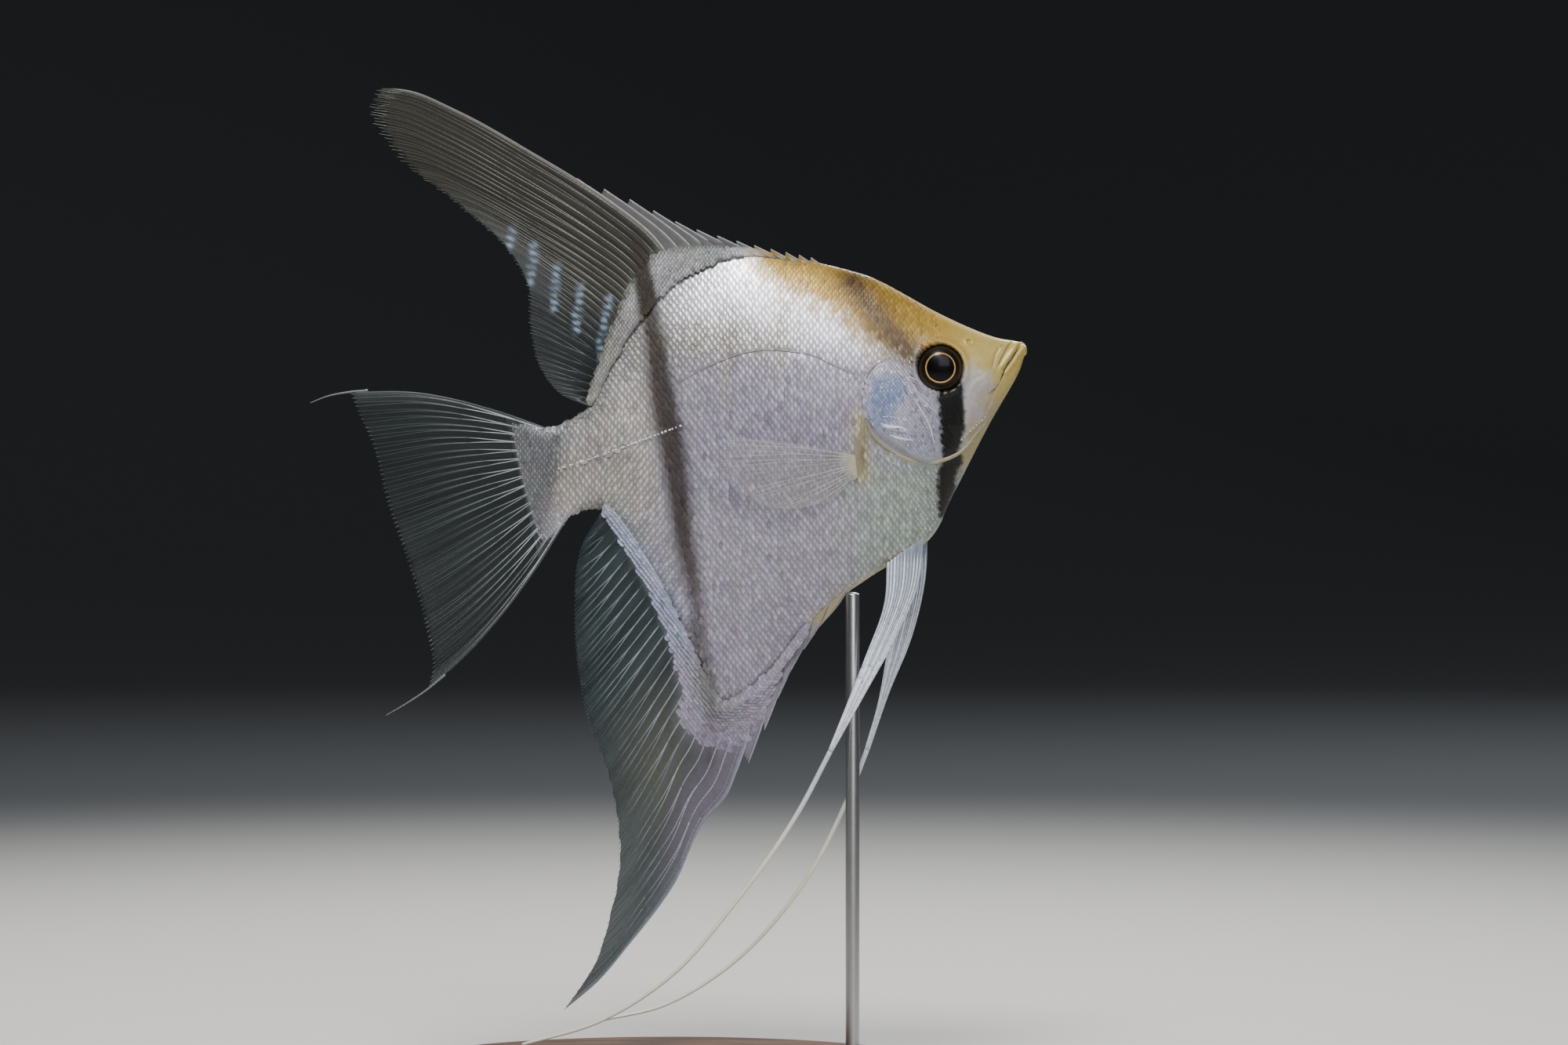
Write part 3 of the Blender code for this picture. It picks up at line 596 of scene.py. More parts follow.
def make_mottle():
    """A node group that makes a colour uneven: noise of a given scale, times a given amount."""
    group = bpy.data.node_groups.new("mottle", "ShaderNodeTree")
    for name, way, kind in (
        ("Colour", "INPUT", "Color"), ("Scale", "INPUT", "Float"), ("Amount", "INPUT", "Float"),
        ("Colour", "OUTPUT", "Color"), ("Height", "OUTPUT", "Float"),
    ):
        group.interface.new_socket(name, in_out=way, socket_type=f"NodeSocket{kind}")
    given = group.nodes.new("NodeGroupInput").outputs
    where = object_place(group)
    cloud = add_node(group, "ShaderNodeTexNoise", Vector=where, Scale=given["Scale"], Detail=4.0)
    height = cloud.outputs["Fac"]
    shift = sum_of(group, "MULTIPLY", sum_of(group, "SUBTRACT", height, 0.5), given["Amount"])
    tone = sum_of(group, "ADD", shift, 1.0)
    grey = add_node(group, "ShaderNodeCombineColor", Red=tone, Green=tone, Blue=tone).outputs[0]
    colour = mix_colours(group, 1.0, given["Colour"], grey, "MULTIPLY")
    add_node(group, "NodeGroupOutput", Colour=colour, Height=height)
    return group


MOTTLE = make_mottle()


def mottled(tree, colour, scale, amount):
    """The mottle group placed in a material: its colour and its height."""
    node = add_node(tree, "ShaderNodeGroup", {"node_tree": MOTTLE}, Colour=colour, Scale=scale, Amount=amount)
    return node.outputs["Colour"], node.outputs["Height"]


def attribute(tree, name, output="Fac"):
    """A named value of the mesh's vertices."""
    return add_node(tree, "ShaderNodeAttribute", {"attribute_name": name}).outputs[output]


def uneven(scale, amount):
    """Nodes for the pigment on a mesh's vertices made uneven, and nothing else."""

    def build(tree):
        """The base colour from the pigment."""
        return {"Base_Color": mottled(tree, attribute(tree, "pigment", "Color"), scale, amount)[0]}

    return build


def bump(tree, height, strength, distance):
    """Small relief in the shading."""
    return add_node(tree, "ShaderNodeBump", Strength=strength, Distance=distance, Height=height).outputs[0]


def skin_nodes(tree):
    """Wet skin: pigment from the markings, a fine grain of pigment cells, and a clear slime."""
    coarse, _ = mottled(tree, attribute(tree, "pigment", "Color"), 700.0, 0.35)
    fine, grain = mottled(tree, coarse, 3200.0, 0.5)
    pits = bump(tree, grain, 0.25, 0.0001)
    return {"Base_Color": fine, "Metallic": attribute(tree, "shine"), "Normal": pits}


def make_skin():
    """Rings of skin_grid up the right side and down the left, closed at the lips and the tail."""
    stations = np.concatenate([np.linspace(0.0, 4.7, 210, endpoint=False), np.linspace(4.7, 15.0, 150)])
    s, h = np.meshgrid(stations, -np.cos(np.linspace(0, math.pi, 97)), indexing="ij")
    rings = np.concatenate([skin_grid(s, h, -1.0), skin_grid(s, h, 1.0)[:, -2:0:-1]], axis=1)
    swell = np.linspace(0, math.pi / 2, 9)[1:-1, None, None]
    first = rings[:1]
    core = first.mean(axis=1, keepdims=True)
    pout = np.array((0.95, 0.0, 0.3)) * 0.8
    lips = core + (first - core) * np.cos(swell) + pout * np.sin(swell)
    rings = np.concatenate([lips[::-1], rings])
    count, size = rings.shape[:2]
    points = np.vstack([rings.reshape(-1, 3), core[0] + pout])
    ring = np.arange(size)
    snout = np.stack([np.roll(ring, -1), ring, np.full(size, count * size)], axis=1)
    faces = [grid_faces(count, size, wrap=True), snout, [ring + (count - 1) * size]]
    x, z = points[:, 0], points[:, 2]
    # Painted shade: the skin under the scales is darkened, up to 0.3, so gaps between them look shaded.
    flank = ease(0.4, 1.2, np.abs(points[:, 1])) * ease(42.0, 36.0, x + 0.25 * z)
    under = 1 - 0.3 * flank * ease(1.0, -0.5, inside(GILL_COVER, x, z))
    values = {"pigment": fish_colour(x, z) * under[:, None], "shine": fish_shine(x, z) * 0.5}
    material = new_material(
        "fish_skin", skin_nodes, Roughness=0.38, Coat_Weight=0.15, Coat_Roughness=0.2, Specular_IOR_Level=0.35
    )
    return make_piece("skin", place(points), faces, material, values)


show(make_skin(), "flesh", "head", "lower_jaw", "gill_cover_right", "gill_cover_left", "trunk", "tail_stalk")

# ---------------------------------------------------------------------------------------------
# The scales: thin domed plates of clear bone over silver, in staggered rows from the gill covers
# to the tail, each overlapping the next and lying back along the body. They are small on nape,
# breast and cheeks, and the snout, jaws and eye rims have none.

SCALE_PITCH = (1.14, 1.5)  # along and across the rows, of every second one
SCALE_RISE = 0.11
FINE_PITCH = (0.86, 1.16)
CHEEK_PITCH = (0.66, 0.84)


def scale_shape():
    """One scale as across, along and height: a rim, a shoulder, an upright oval behind the middle,
    and a point below, with a tone on each point: high on the oval for a painted highlight, low on
    the rim and shoulder for painted shade. The plate slopes up backwards, height = 0.5 * along, so
    that its rear edge lies on the next scale, and it bulges a little under the oval."""
    turn = around(8)
    rings = [
        np.stack([wide * np.cos(turn), long * np.sin(turn) + shift, 0 * turn + rise], axis=1)
        for wide, long, shift, rise in ((1, 1, 0, -0.1), (0.6, 0.35, 0.45, -0.02), (0.36, 0.17, 0.48, 0.1))
    ]
    points = np.vstack(rings + [[(0.0, 0.48, 0.14)], [(0.0, 0.0, -1.4)]])
    points[:, 2] += 0.5 * points[:, 1]
    i = np.arange(8)
    j = (i + 1) % 8
    quads = np.vstack([np.stack([i + k, j + k, j + 8 + k, i + 8 + k], axis=1) for k in (0, 8)])
    tops = np.stack([i + 16, j + 16, np.full(8, 24)], axis=1)
    bottoms = np.stack([j, i, np.full(8, 25)], axis=1)
    # Tones: the oval and top are where a highlight is painted, rim and shoulder where shade is.
    tone = np.repeat((0.3, 0.1, 1.0, 1.0, 0.0), (8, 8, 8, 1, 1))
    return points, quads, tops, bottoms, tone


def scale_roots(pitch, seed):
    """Places of a staggered lattice over the whole side view, each a little out of line."""
    random = np.random.default_rng(seed)
    x, z = np.meshgrid(np.arange(-44, 52, pitch[0]), np.arange(-62, 54, pitch[1]), indexing="ij")
    x = np.concatenate([x.ravel(), x.ravel() + pitch[0] / 2])
    z = np.concatenate([z.ravel(), z.ravel() + pitch[1] / 2])
    shift = random.uniform(-0.09, 0.09, (2, len(x)))
    return x + shift[0] * pitch[0], z + shift[1] * pitch[1]


def naked(x, z):
    """Where there are no scales: before a line through the eye, round the eye, on the rim of the
    gill cover and under the pectoral fin's root."""
    before = x + 0.25 * z > 42.5
    round_eye = np.hypot(x - EYE[0], z - EYE[1]) < 5.0
    mouth = (x > 40.2) & (z < 14.0)
    cover = inside(GILL_COVER, x, z)
    rim = (cover > -1.3) & (cover < 1.1) & (z < 8.0)
    root = np.hypot((x - 21.7) / 1.2, (z - 1.5) / 3.4) < 1
    return before | round_eye | mouth | rim | root


def on_cheek(x, z):
    """The gill covers and cheeks, whose scales are the smallest."""
    return (inside(GILL_COVER, x, z) > 0.4) | (x + 0.1 * z > 36.0)


def fine_zone(x, z):
    """Where scales are small: on the nape, the brow, the breast and the root of the tail fin."""
    nape = (before_silver(x, z) > 1.0) | (x + 0.2 * z > 30.0)
    return (nape | (x < -32.0)) & ~on_cheek(x, z)


def highlight_contrast(x, z):
    """How far a scale's ridge differs from its rim: a painted highlight on the ridge and painted shade
    on the rim over the scales' own pattern, most on the silver of the upper flank, least in the
    gold. On the black bars it is below 0, for there the rims are the pale part."""
    pale = 0.32 + 0.68 * ease(13, 25, z)
    pale = pale + 0.35 * ease(-8, -18, x) * (1 - pale)
    return pale * (1 - 0.85 * gold_cover(x, z)) * (1 - 1.5 * bar_cover(x, z))


def lay_scales(name, roots, frames, side, pitch, colour, shine, bake, slot, seed, highlight_strength=1.0):
    """Copies of scale_shape at `roots`, turned into `frames` of across, back and out, joined as
    one piece. `colour` and `shine` are functions of the place in side view, read with most of
    each scale's spread taken away, so that edges of markings follow the scales."""
    across, back, out = frames
    shape, *sides, tone = scale_shape()
    random = np.random.default_rng(seed)
    grow = random.uniform(0.9, 1.1, (len(roots), 1, 1))
    tilt = random.normal(0, 0.012, (2, len(roots), 1))
    axes = np.stack([across + tilt[1] * out, back + tilt[0] * out, out], axis=1)
    size = np.array((pitch[1] * 0.6, pitch[0] * 0.7, SCALE_RISE * pitch[0] / SCALE_PITCH[0]))
    local = shape[None] * size * grow
    flat = (roots[:, None] + sum(local[..., k : k + 1] * axes[:, k : k + 1] for k in range(3))).reshape(-1, 3)
    count = len(shape)
    start = np.arange(len(roots))[:, None, None] * count
    x, z = (flat[:, k] + 0.7 * (np.repeat(roots[:, k], count) - flat[:, k]) for k in (0, 2))
    each = np.repeat(random.normal(0, 1, len(roots)), count)
    order = -1 if side > 0 else 1
    # The dome value carries each scale's painted highlight and painted shade.
    values = {
        "pigment": colour(x, z) * np.clip(1 + 0.14 * each[:, None], 0.6, 1.5),
        "shine": shine(x, z),
        "dome": 0.45 + (np.tile(tone, len(roots)) - 0.45) * highlight_contrast(x, z) * highlight_strength,
    }
    faces = [(part + start).reshape(-1, part.shape[1])[:, ::order] for part in sides]
    piece = make_piece(name, place(flat), faces, scale_material, values, crease=60)
    patch = shape[:, :2] / np.abs(shape[:, :2]).max(axis=0) * 0.0015
    spots = (bake[:, None] + patch[None, :, ::-1]).reshape(-1, 2)
    corners = np.zeros(len(piece.data.loops), np.int32)
    piece.data.loops.foreach_get("vertex_index", corners)
    piece.data.uv_layers.new(name="OFBake").data.foreach_set("uv", spots[corners].ravel())
    show(piece, slot)


def unit(rows):
    """Rows of vectors, each one long."""
    return rows / np.linalg.norm(rows, axis=1)[:, None]


def scale_body(name, side, pitch, keep, seed):
    """Scales on the skin. Each one's frame comes from the surface a scale's length around it: out
    is square to it, and back lies in it, midway between the body's own way to the tail and level.
    The OFBake map is the skin unrolled, with stations along U and the angle round it along V."""
    x, z = scale_roots(pitch, seed)
    chosen = (z < 42) & (z > -46)
    x, z = x[chosen], z[chosen]
    chosen = keep(x, z) & ~naked(x, z)
    station, height = section_of(x[chosen], z[chosen])
    chosen = (np.abs(height) < 0.997) & (station < 14.7) & (station > 0.3)
    station, height = station[chosen], height[chosen]
    here = skin_grid(station, height, side)
    back = skin_grid(station + 0.12, height, side) - skin_grid(station - 0.12, height, side)
    high = np.clip(height + 0.015, -0.9995, 0.9995)
    up = skin_grid(station, high, side) - skin_grid(station, high - 0.03, side)
    out = unit(np.cross(up, back) * -side)
    back = unit(back) - (0.8, 0.0, 0.0)
    back = unit(back - out * (back * out).sum(axis=1)[:, None])
    across = np.cross(out, back) * side
    bake = np.stack([0.02 + 0.96 * station / 15, 0.02 + 0.96 * np.arccos(-height) / math.pi], axis=1)
    slim = (1 - 0.5 * ease(0.97, 0.997, np.abs(height)))[:, None]
    frames = (across * slim, back * slim, out * slim)
    lay_scales(name, here, frames, side, pitch, fish_colour, fish_shine, bake, "flesh", seed + 1)


def scale_nodes(tree):
    """Scales: a painted highlight on each dome, painted shade between, a faint play of colour."""
    colour, _ = mottled(tree, attribute(tree, "pigment", "Color"), 900.0, 0.3)
    # Painted light: dark is painted shade on the rims, light a painted highlight on the ovals.
    dark = mix_colours(tree, 1.0, colour, (0.34, 0.33, 0.36), "MULTIPLY")
    light = mix_colours(tree, 1.0, colour, (1.85, 1.85, 1.9), "MULTIPLY")
    base = mix_colours(tree, attribute(tree, "dome"), dark, light)
    tint = add_node(tree, "ShaderNodeTexNoise", Vector=object_place(tree), Scale=420.0, Detail=2.0)
    highlight_and_tint = mix_colours(tree, 0.14, base, tint.outputs["Color"], "OVERLAY")
    return {"Base_Color": highlight_and_tint, "Metallic": attribute(tree, "shine")}


scale_material = new_material(
    "fish_scales", scale_nodes, Roughness=0.36, Coat_Weight=0.08, Coat_Roughness=0.15, Specular_IOR_Level=0.35
)
SIDES = (("right", -1.0), ("left", 1.0))
for side_name, side in SIDES:
    scale_body(f"scales_{side_name}", side, SCALE_PITCH, lambda x, z: ~fine_zone(x, z) & ~on_cheek(x, z), 11)
    scale_body(f"small_scales_{side_name}", side, FINE_PITCH, fine_zone, 23)
    scale_body(f"cheek_scales_{side_name}", side, CHEEK_PITCH, on_cheek, 37)

# ---------------------------------------------------------------------------------------------
# The eyes: a glossy ball with a black pupil, a thin gold ring, a dark bronze iris and a pale gold
# outer rim, set in the socket and held by a fine ring of skin.

IRIS = (  # distance from the middle as a share of the radius, and colour
    (0.00, paint(3, 3, 5)), (0.595, paint(4, 4, 6)), (0.615, paint(198, 152, 100)),
    (0.645, paint(168, 124, 78)), (0.67, paint(14, 10, 8)), (0.8, paint(26, 20, 15)),
    (0.9, paint(62, 52, 36)), (0.955, paint(22, 18, 15)), (1.00, paint(124, 106, 72)),
)


def eye_nodes(tree):
    """Rings of colour by distance from the middle line, fine rays in the iris, a clear coat, and a
    painted reflection of light: darker at the top, brighter towards the bottom.
    """
    where = object_place(tree)
    parts = add_node(tree, "ShaderNodeSeparateXYZ", Vector=where).outputs
    x = sum_of(tree, "SUBTRACT", parts["X"], float(MIDDLE[0]) + EYE[0] * MM)
    z = sum_of(tree, "SUBTRACT", parts["Z"], float(MIDDLE[2]) + EYE[1] * MM)
    square = sum_of(tree, "ADD", sum_of(tree, "MULTIPLY", x, x), sum_of(tree, "MULTIPLY", z, z))
    share = sum_of(tree, "DIVIDE", sum_of(tree, "SQRT", square), EYE_RADIUS * MM)
    cloud = add_node(tree, "ShaderNodeTexNoise", Vector=where, Scale=900.0).outputs["Fac"]
    wobble = sum_of(tree, "MULTIPLY", sum_of(tree, "SUBTRACT", cloud, 0.5), 0.02)
    rings = add_ramp(tree, sum_of(tree, "ADD", share, wobble), IRIS)
    # Painted light: the iris is darkened at the top and brightened towards the bottom, as reflected light.
    low = sum_of(tree, "DIVIDE", z, -EYE_RADIUS * MM)
    spread = {"From_Min": -1.0, "From_Max": 0.7, "To_Min": 0.35, "To_Max": 1.9}
    grey = add_node(tree, "ShaderNodeMapRange", Value=low, **spread).outputs[0]
    painted_light = add_node(tree, "ShaderNodeCombineColor", Red=grey, Green=grey, Blue=grey).outputs[0]
    return {"Base_Color": mottled(tree, mix_colours(tree, 0.8, rings, painted_light, "MULTIPLY"), 1800.0, 0.7)[0]}


def add_ramp(tree, share, stops):
    """Colours along a share from 0 to 1, each with its place."""
    ramp = add_node(tree, "ShaderNodeValToRGB", Fac=share)
    made = ramp.color_ramp.elements
    for at, _ in stops[1:-1]:
        made.new(at)
    for stop, (at, colour) in zip(made, stops):
        stop.position, stop.color = at, (*colour, 1.0)
    return ramp.outputs["Color"]


def closed_rings(rows, columns):
    """Quads between closed rings of points, and fans from the first and last ring to the two
    points after them."""
    ring, last, count = np.arange(columns), (rows - 1) * columns, rows * columns
    after = np.roll(ring, -1)
    first_fan = np.stack([after, ring, np.full(columns, count)], axis=1)
    last_fan = np.stack([last + ring, last + after, np.full(columns, count + 1)], axis=1)
    return [grid_faces(rows, columns, wrap=True), first_fan, last_fan]


def make_eye(side_name, material):
    """A flattened ball whose poles lie along y: circles of latitude about the middle line."""
    circles, sides = 39, 64
    latitude = np.linspace(0, math.pi, circles + 2)[1:-1, None]
    turn = around(sides)
    low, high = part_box(f"eye_{side_name}")
    centre, half = (np.array(low) + np.array(high)) / 2, (np.array(high) - np.array(low)) / 2
    wide, level = np.sin(latitude), np.cos(latitude)
    ball = np.stack([wide * np.cos(turn), level * np.ones_like(turn), wide * np.sin(turn)], axis=-1)
    points = np.vstack([ball.reshape(-1, 3), [(0, 1, 0), (0, -1, 0)]])
    faces = closed_rings(circles, sides)
    eye = make_piece(f"eyeball_{side_name}", points * half * 0.995 + centre, faces, material)
    show(eye, "eye", f"eye_{side_name}")


eye_material = new_material(
    "eye", eye_nodes, Roughness=0.35, Coat_Weight=0.12, Coat_Roughness=0.06, Specular_IOR_Level=0.15,
    Metallic=0.15,
)
for side_name, _ in SIDES:
    make_eye(side_name, eye_material)

# ---------------------------------------------------------------------------------------------
# The fine lines of head and flanks: ridges of bone under the gill cover's skin, its pale soft
# rim, the cleft of the mouth drawn dark as painted shade, the beaded cheek, and the pores of the
# lateral lines. They are thin strands that lie half sunk in the skin.

FACE_LINES = (  # points, radius at the middle, how far its middle lies out of the skin, colour
    (((30.3, 14.9), (32.2, 11.3), (34.4, 7.2), (35.0, 4.4)), 0.16, 0.06, paint(214, 206, 210)),
    (((31.6, 13.6), (33.6, 11.6), (35.8, 9.7)), 0.12, 0.06, paint(200, 192, 198)),
    (((29.0, 15.4), (30.6, 16.4), (32.2, 15.6)), 0.12, 0.03, paint(196, 184, 184)),
    (((24.7, 8.5), (26.7, 7.6), (28.9, 7.4), (31.2, 6.6)), 0.42, -0.26, paint(216, 220, 236)),
    (((26.4, 6.4), (29.4, 5.4), (32.0, 5.2)), 0.4, -0.25, paint(196, 200, 214)),
    (((24.8, 5.6), (26.9, 3.7), (30.3, 1.8), (33.6, 1.1), (36.9, 1.8), (39.8, 3.2), (43.1, 7.0), (45.3, 9.4)),
     0.5, -0.3, paint(148, 142, 112)),
    (((22.6, 9.6), (23.6, 6.6), (25.6, 4.3), (28.9, 2.4)), 0.24, -0.08, paint(128, 118, 84)),
    (((27.2, 20.0), (24.2, 18.2), (22.7, 15.6), (22.2, 12.6), (22.4, 10.4)), 0.14, 0.02, paint(112, 104, 98)),
    (((23.0, 12.4), (22.3, 8.6), (22.0, 5.4), (21.6, 2.4)), 0.75, -0.5, paint(136, 132, 104)),
    # Painted shade: the near-black strand along the mouth's cleft stands for the shade in the slit.
    (((50.4, 22.0), (48.4, 19.2), (46.8, 15.6)), 0.17, -0.02, paint(40, 32, 22)),
    (((46.8, 15.6), (46.1, 14.6), (44.6, 13.4)), 0.14, -0.03, paint(92, 76, 44)),
    (((48.9, 23.4), (47.4, 21.0), (46.2, 18.2)), 0.16, -0.05, paint(132, 114, 66)),
    (((47.2, 22.6), (45.9, 20.4), (45.2, 17.8)), 0.14, -0.05, paint(126, 108, 62)),
    (LATERAL_LINE, 0.08, 0.12, paint(112, 108, 112)),
)
BEADED_LINES = (  # points, radius, colour: rows of small raised pearls
    (TAIL_LINE, 0.24, paint(226, 226, 230)),
    (((39.8, 5.1), (42.2, 7.4), (44.6, 9.6)), 0.11, paint(206, 202, 200)),
    (((25.0, 3.2), (27.2, 1.4), (29.3, 0.4)), 0.1, paint(206, 210, 212)),
    (((25.6, 9.4), (28.2, 9.2), (30.6, 8.6)), 0.16, paint(226, 228, 240)),
    (((25.4, 14.4), (27.2, 15.6), (29.0, 15.7)), 0.18, paint(226, 212, 226)),
)


def tubes(paths, radii, sides=6, flat=1.0):
    """Tapered round rods along paths (rods, points, xyz), closed by a point at each end. Each
    ring lies square to the path, between the y axis and the direction square to both."""
    run = np.gradient(paths, axis=1)
    run /= np.linalg.norm(run, axis=-1, keepdims=True)
    aside = np.cross(run, np.broadcast_to((0.0, 1.0, 0.0), run.shape))
    aside /= np.linalg.norm(aside, axis=-1, keepdims=True)
    out = np.cross(aside, run)
    turn = around(sides)[:, None]
    ring = out[:, :, None] * np.cos(turn) * flat + aside[:, :, None] * np.sin(turn)
    ring *= radii[:, :, None, None]
    rods, points = paths.shape[:2]
    body = (paths[:, :, None] + ring).reshape(rods, points * sides, 3)
    vertices = np.concatenate([body, paths[:, :1], paths[:, -1:]], axis=1)
    start = np.arange(rods)[:, None, None] * (points * sides + 2)
    quads, *fans = closed_rings(points, sides)
    quads, caps = quads[None] + start, np.vstack(fans)[None] + start
    return vertices.reshape(-1, 3), quads.reshape(-1, 4), caps.reshape(-1, 3)


def on_skin(x, z, side, lift):
    """Places on the skin at points in side view, `lift` further out."""
    station, height = section_of(x, z)
    points = skin_grid(station, height, side)
    points[..., 1] += side * lift
    return points


def make_face_lines(side_name, side, material):
    """All lines and pearls of one side as one piece of tapered strands."""
    random = np.random.default_rng(71)
    points, quads, caps, colours, start = [], [], [], [], 0
    strands = [(*line, 0.0, 1.0) for line in FACE_LINES]
    for line, radius, colour in BEADED_LINES:
        length = np.linalg.norm(np.diff(line, axis=0), axis=1).sum()
        for place_on in np.arange(0.4, length - 0.2, 0.7):
            middle = (place_on + random.uniform(-0.2, 0.2)) / length
            half = random.uniform(0.1, 0.3) / length
            size = radius * random.uniform(0.6, 1.1)
            strands.append((line, size, 0.06, colour, middle - half, middle + half))
    for line, radius, lift, colour, begin, end in strands:
        count = 40 if end - begin > 0.9 else 6
        flat = along(line, np.linspace(begin, end, count))
        path = on_skin(flat[:, 0], flat[:, 1], side, lift)
        swell = np.sin(math.pi * np.linspace(0.04, 0.96, count)) ** 0.5
        rod, *sheets = tubes(path[None], (radius * swell)[None])
        points.append(rod)
        quads.append(sheets[0] + start)
        caps.append(sheets[1] + start)
        colours.append(np.broadcast_to(colour, rod.shape))
        start += len(rod)
    faces, values = [np.vstack(quads), np.vstack(caps)], {"pigment": np.vstack(colours)}
    show(make_piece(f"face_lines_{side_name}", place(np.vstack(points)), faces, material, values), "flesh")


line_material = new_material(
    "face_lines", uneven(1400.0, 0.7), Roughness=0.32, Coat_Weight=0.2, Coat_Roughness=0.15
)
for side_name, side in SIDES:
    make_face_lines(side_name, side, line_material)

# ---------------------------------------------------------------------------------------------
# What all fins share. A fin is a thin web of skin over jointed bony rays, which fork on their way
# to the edge. Next to the body its base is fleshy, and small scales run out over it as a sheath.


def flesh_half(x, z):
    """Half the thickness of a fin's base: it swells to the body's outline, where it fills the
    crease between body and fin, and has nearly gone 6 mm out."""
    beyond = np.maximum(-inside(BODY_EDGE, x, z), 0.0)
    return 0.06 + 0.52 * (1 - ease(-0.5, 6.0, beyond)) ** 1.6 + 0.45 * bell(beyond, 1.4)


def fin_point(fin, a, t):
    """The fin in side view: straight lines from base (t = 0) to edge (t = 1) at the share `a`,
    plus the bends of the first and last rays, which fall off across the fin. `ends` says which
    share of the edge the rays at some shares of the base run to."""
    a, t = np.broadcast_arrays(a, t)
    first, last = np.asarray(fin["first"]), np.asarray(fin["last"])
    knots, ends = np.transpose(fin.get("ends", ((0, 0), (1, 1))))
    base = along(fin["base"], a)
    edge = along(fin["edge"], np.clip(hermite(knots, ends[:, None], a)[..., 0], 0, 1))
    a, t = a[..., None], t[..., None]
    first_bend = along(first, t[..., 0]) - (1 - t) * first[0] - t * first[-1]
    last_bend = along(last, t[..., 0]) - (1 - t) * last[0] - t * last[-1]
    powers = fin.get("reach", (1.0, 1.0))
    return (1 - t) * base + t * edge + (1 - a) ** powers[0] * first_bend + a ** powers[1] * last_bend


def fin_sway(fin, a, t):
    """Sideways sway: none at the base, most at the edge, in waves across the fin."""
    depth, turns = fin["sway"]
    return depth * t**3 * np.sin(2 * math.pi * turns * (a + 0.15 * t))


def sheath(fin, x, z):
    """How far the scaly sheath covers points, 1 at the body's outline and 0 beyond its depth, and
    the share of the fin's line that they are nearest to."""
    gap, share = distance_to(fin["line"], x, z)
    return ease(1.35, 0.4, gap / np.interp(share, *np.transpose(fin["depths"]))), share


def shell(middle, half):
    """A thin closed plate: a grid moved to both sides along y by `half`, joined at its border."""
    rows, columns = middle.shape[:2]
    right, left = middle.copy(), middle.copy()
    right[..., 1] -= half
    left[..., 1] += half
    count = rows * columns
    index = np.arange(count).reshape(rows, columns)
    border = np.concatenate([index[0, :-1], index[:-1, -1], index[-1, :0:-1], index[:0:-1, 0]])
    after = np.roll(border, -1)
    rim = np.stack([border, border + count, after + count, after], axis=1)
    faces = [grid_faces(rows, columns), grid_faces(rows, columns, count)[:, ::-1], rim]
    return np.concatenate([right.reshape(-1, 3), left.reshape(-1, 3)]), np.vstack(faces)


def ray_paths(fin, points=16):
    """Paths and radii of all rays of a fin. A ray is one rod to its first fork, two to the next
    and four to the edge, with each ray's forks a little off its neighbour's. `forks` says where
    a ray starts, forks twice and ends. The seven rods of a ray are `count` apart."""
    count, (start, first, second, end) = fin["count"], fin["forks"]
    ray = np.arange(count)
    middle = ((ray + 0.5) / count)[:, None]
    waver = 0.05 * np.sin(2.4 * ray)[:, None]
    stops = (start + 0 * waver, first + waver, second + waver, end + 0 * waver)
    lanes = (
        ((0.0, 0.0),),
        ((0.0, -0.22), (0.0, 0.22)),
        ((-0.22, -0.36), (-0.22, -0.12), (0.22, 0.12), (0.22, 0.36)),
    )
    way = np.linspace(0, 1, points)[None]
    paths, radii, where = [], [], []
    for index, sides in enumerate(lanes):
        t = stops[index] + (stops[index + 1] - stops[index]) * way
        for lane_start, lane_end in sides:
            a = middle + (lane_start + (lane_end - lane_start) * way) / count
            longer = fin.get("tips", 0.0) * np.sin(40 * middle + 9 * lane_end) if index == 2 else 0.0
            reach = t + longer * way
            flat = fin_point(fin, a, reach)
            paths.append(np.stack([flat[..., 0], fin_sway(fin, a, reach), flat[..., 1]], axis=-1))
            thick = fin["rays"][index] + (fin["rays"][index + 1] - fin["rays"][index]) * way
            radii.append(np.broadcast_to(thick, a.shape))
            where.append(t)
    return np.concatenate(paths), np.concatenate(radii), np.concatenate(where)


def web_nodes(tree):
    """Wet translucent skin: its colour and cover change over the fin, in streaks along the rays."""
    colour, grain = mottled(tree, attribute(tree, "pigment", "Color"), 1100.0, 0.5)
    return {"Base_Color": colour, "Alpha": attribute(tree, "cover"), "Normal": bump(tree, grain, 0.2, 0.0001)}


def ray_nodes(tree):
    """Pale bone under clear skin, crossed by the darker joints of its segments."""
    joint = sum_of(tree, "LESS_THAN", sum_of(tree, "FRACT", attribute(tree, "joints")), 0.35)
    colour, _ = mottled(tree, attribute(tree, "pigment", "Color"), 1500.0, 0.9)
    dark = mix_colours(tree, 1.0, colour, (0.7, 0.7, 0.7), "MULTIPLY")
    return {"Base_Color": mix_colours(tree, joint, colour, dark)}


web_material = new_material(
    "fin_web", web_nodes, Roughness=0.42, Coat_Weight=0.15, Coat_Roughness=0.2, Specular_IOR_Level=0.35
)
ray_material = new_material(
    "fin_rays", ray_nodes, Roughness=0.35, Coat_Weight=0.25, Coat_Roughness=0.15, Specular_IOR_Level=0.4
)


def streaks(low, high, a, t, across, out, seed):
    """Streaks of brightness along the rays, `across` of them over the fin."""
    return (low + high * noise(a * across, t * out, 9.0, seed))[:, None]


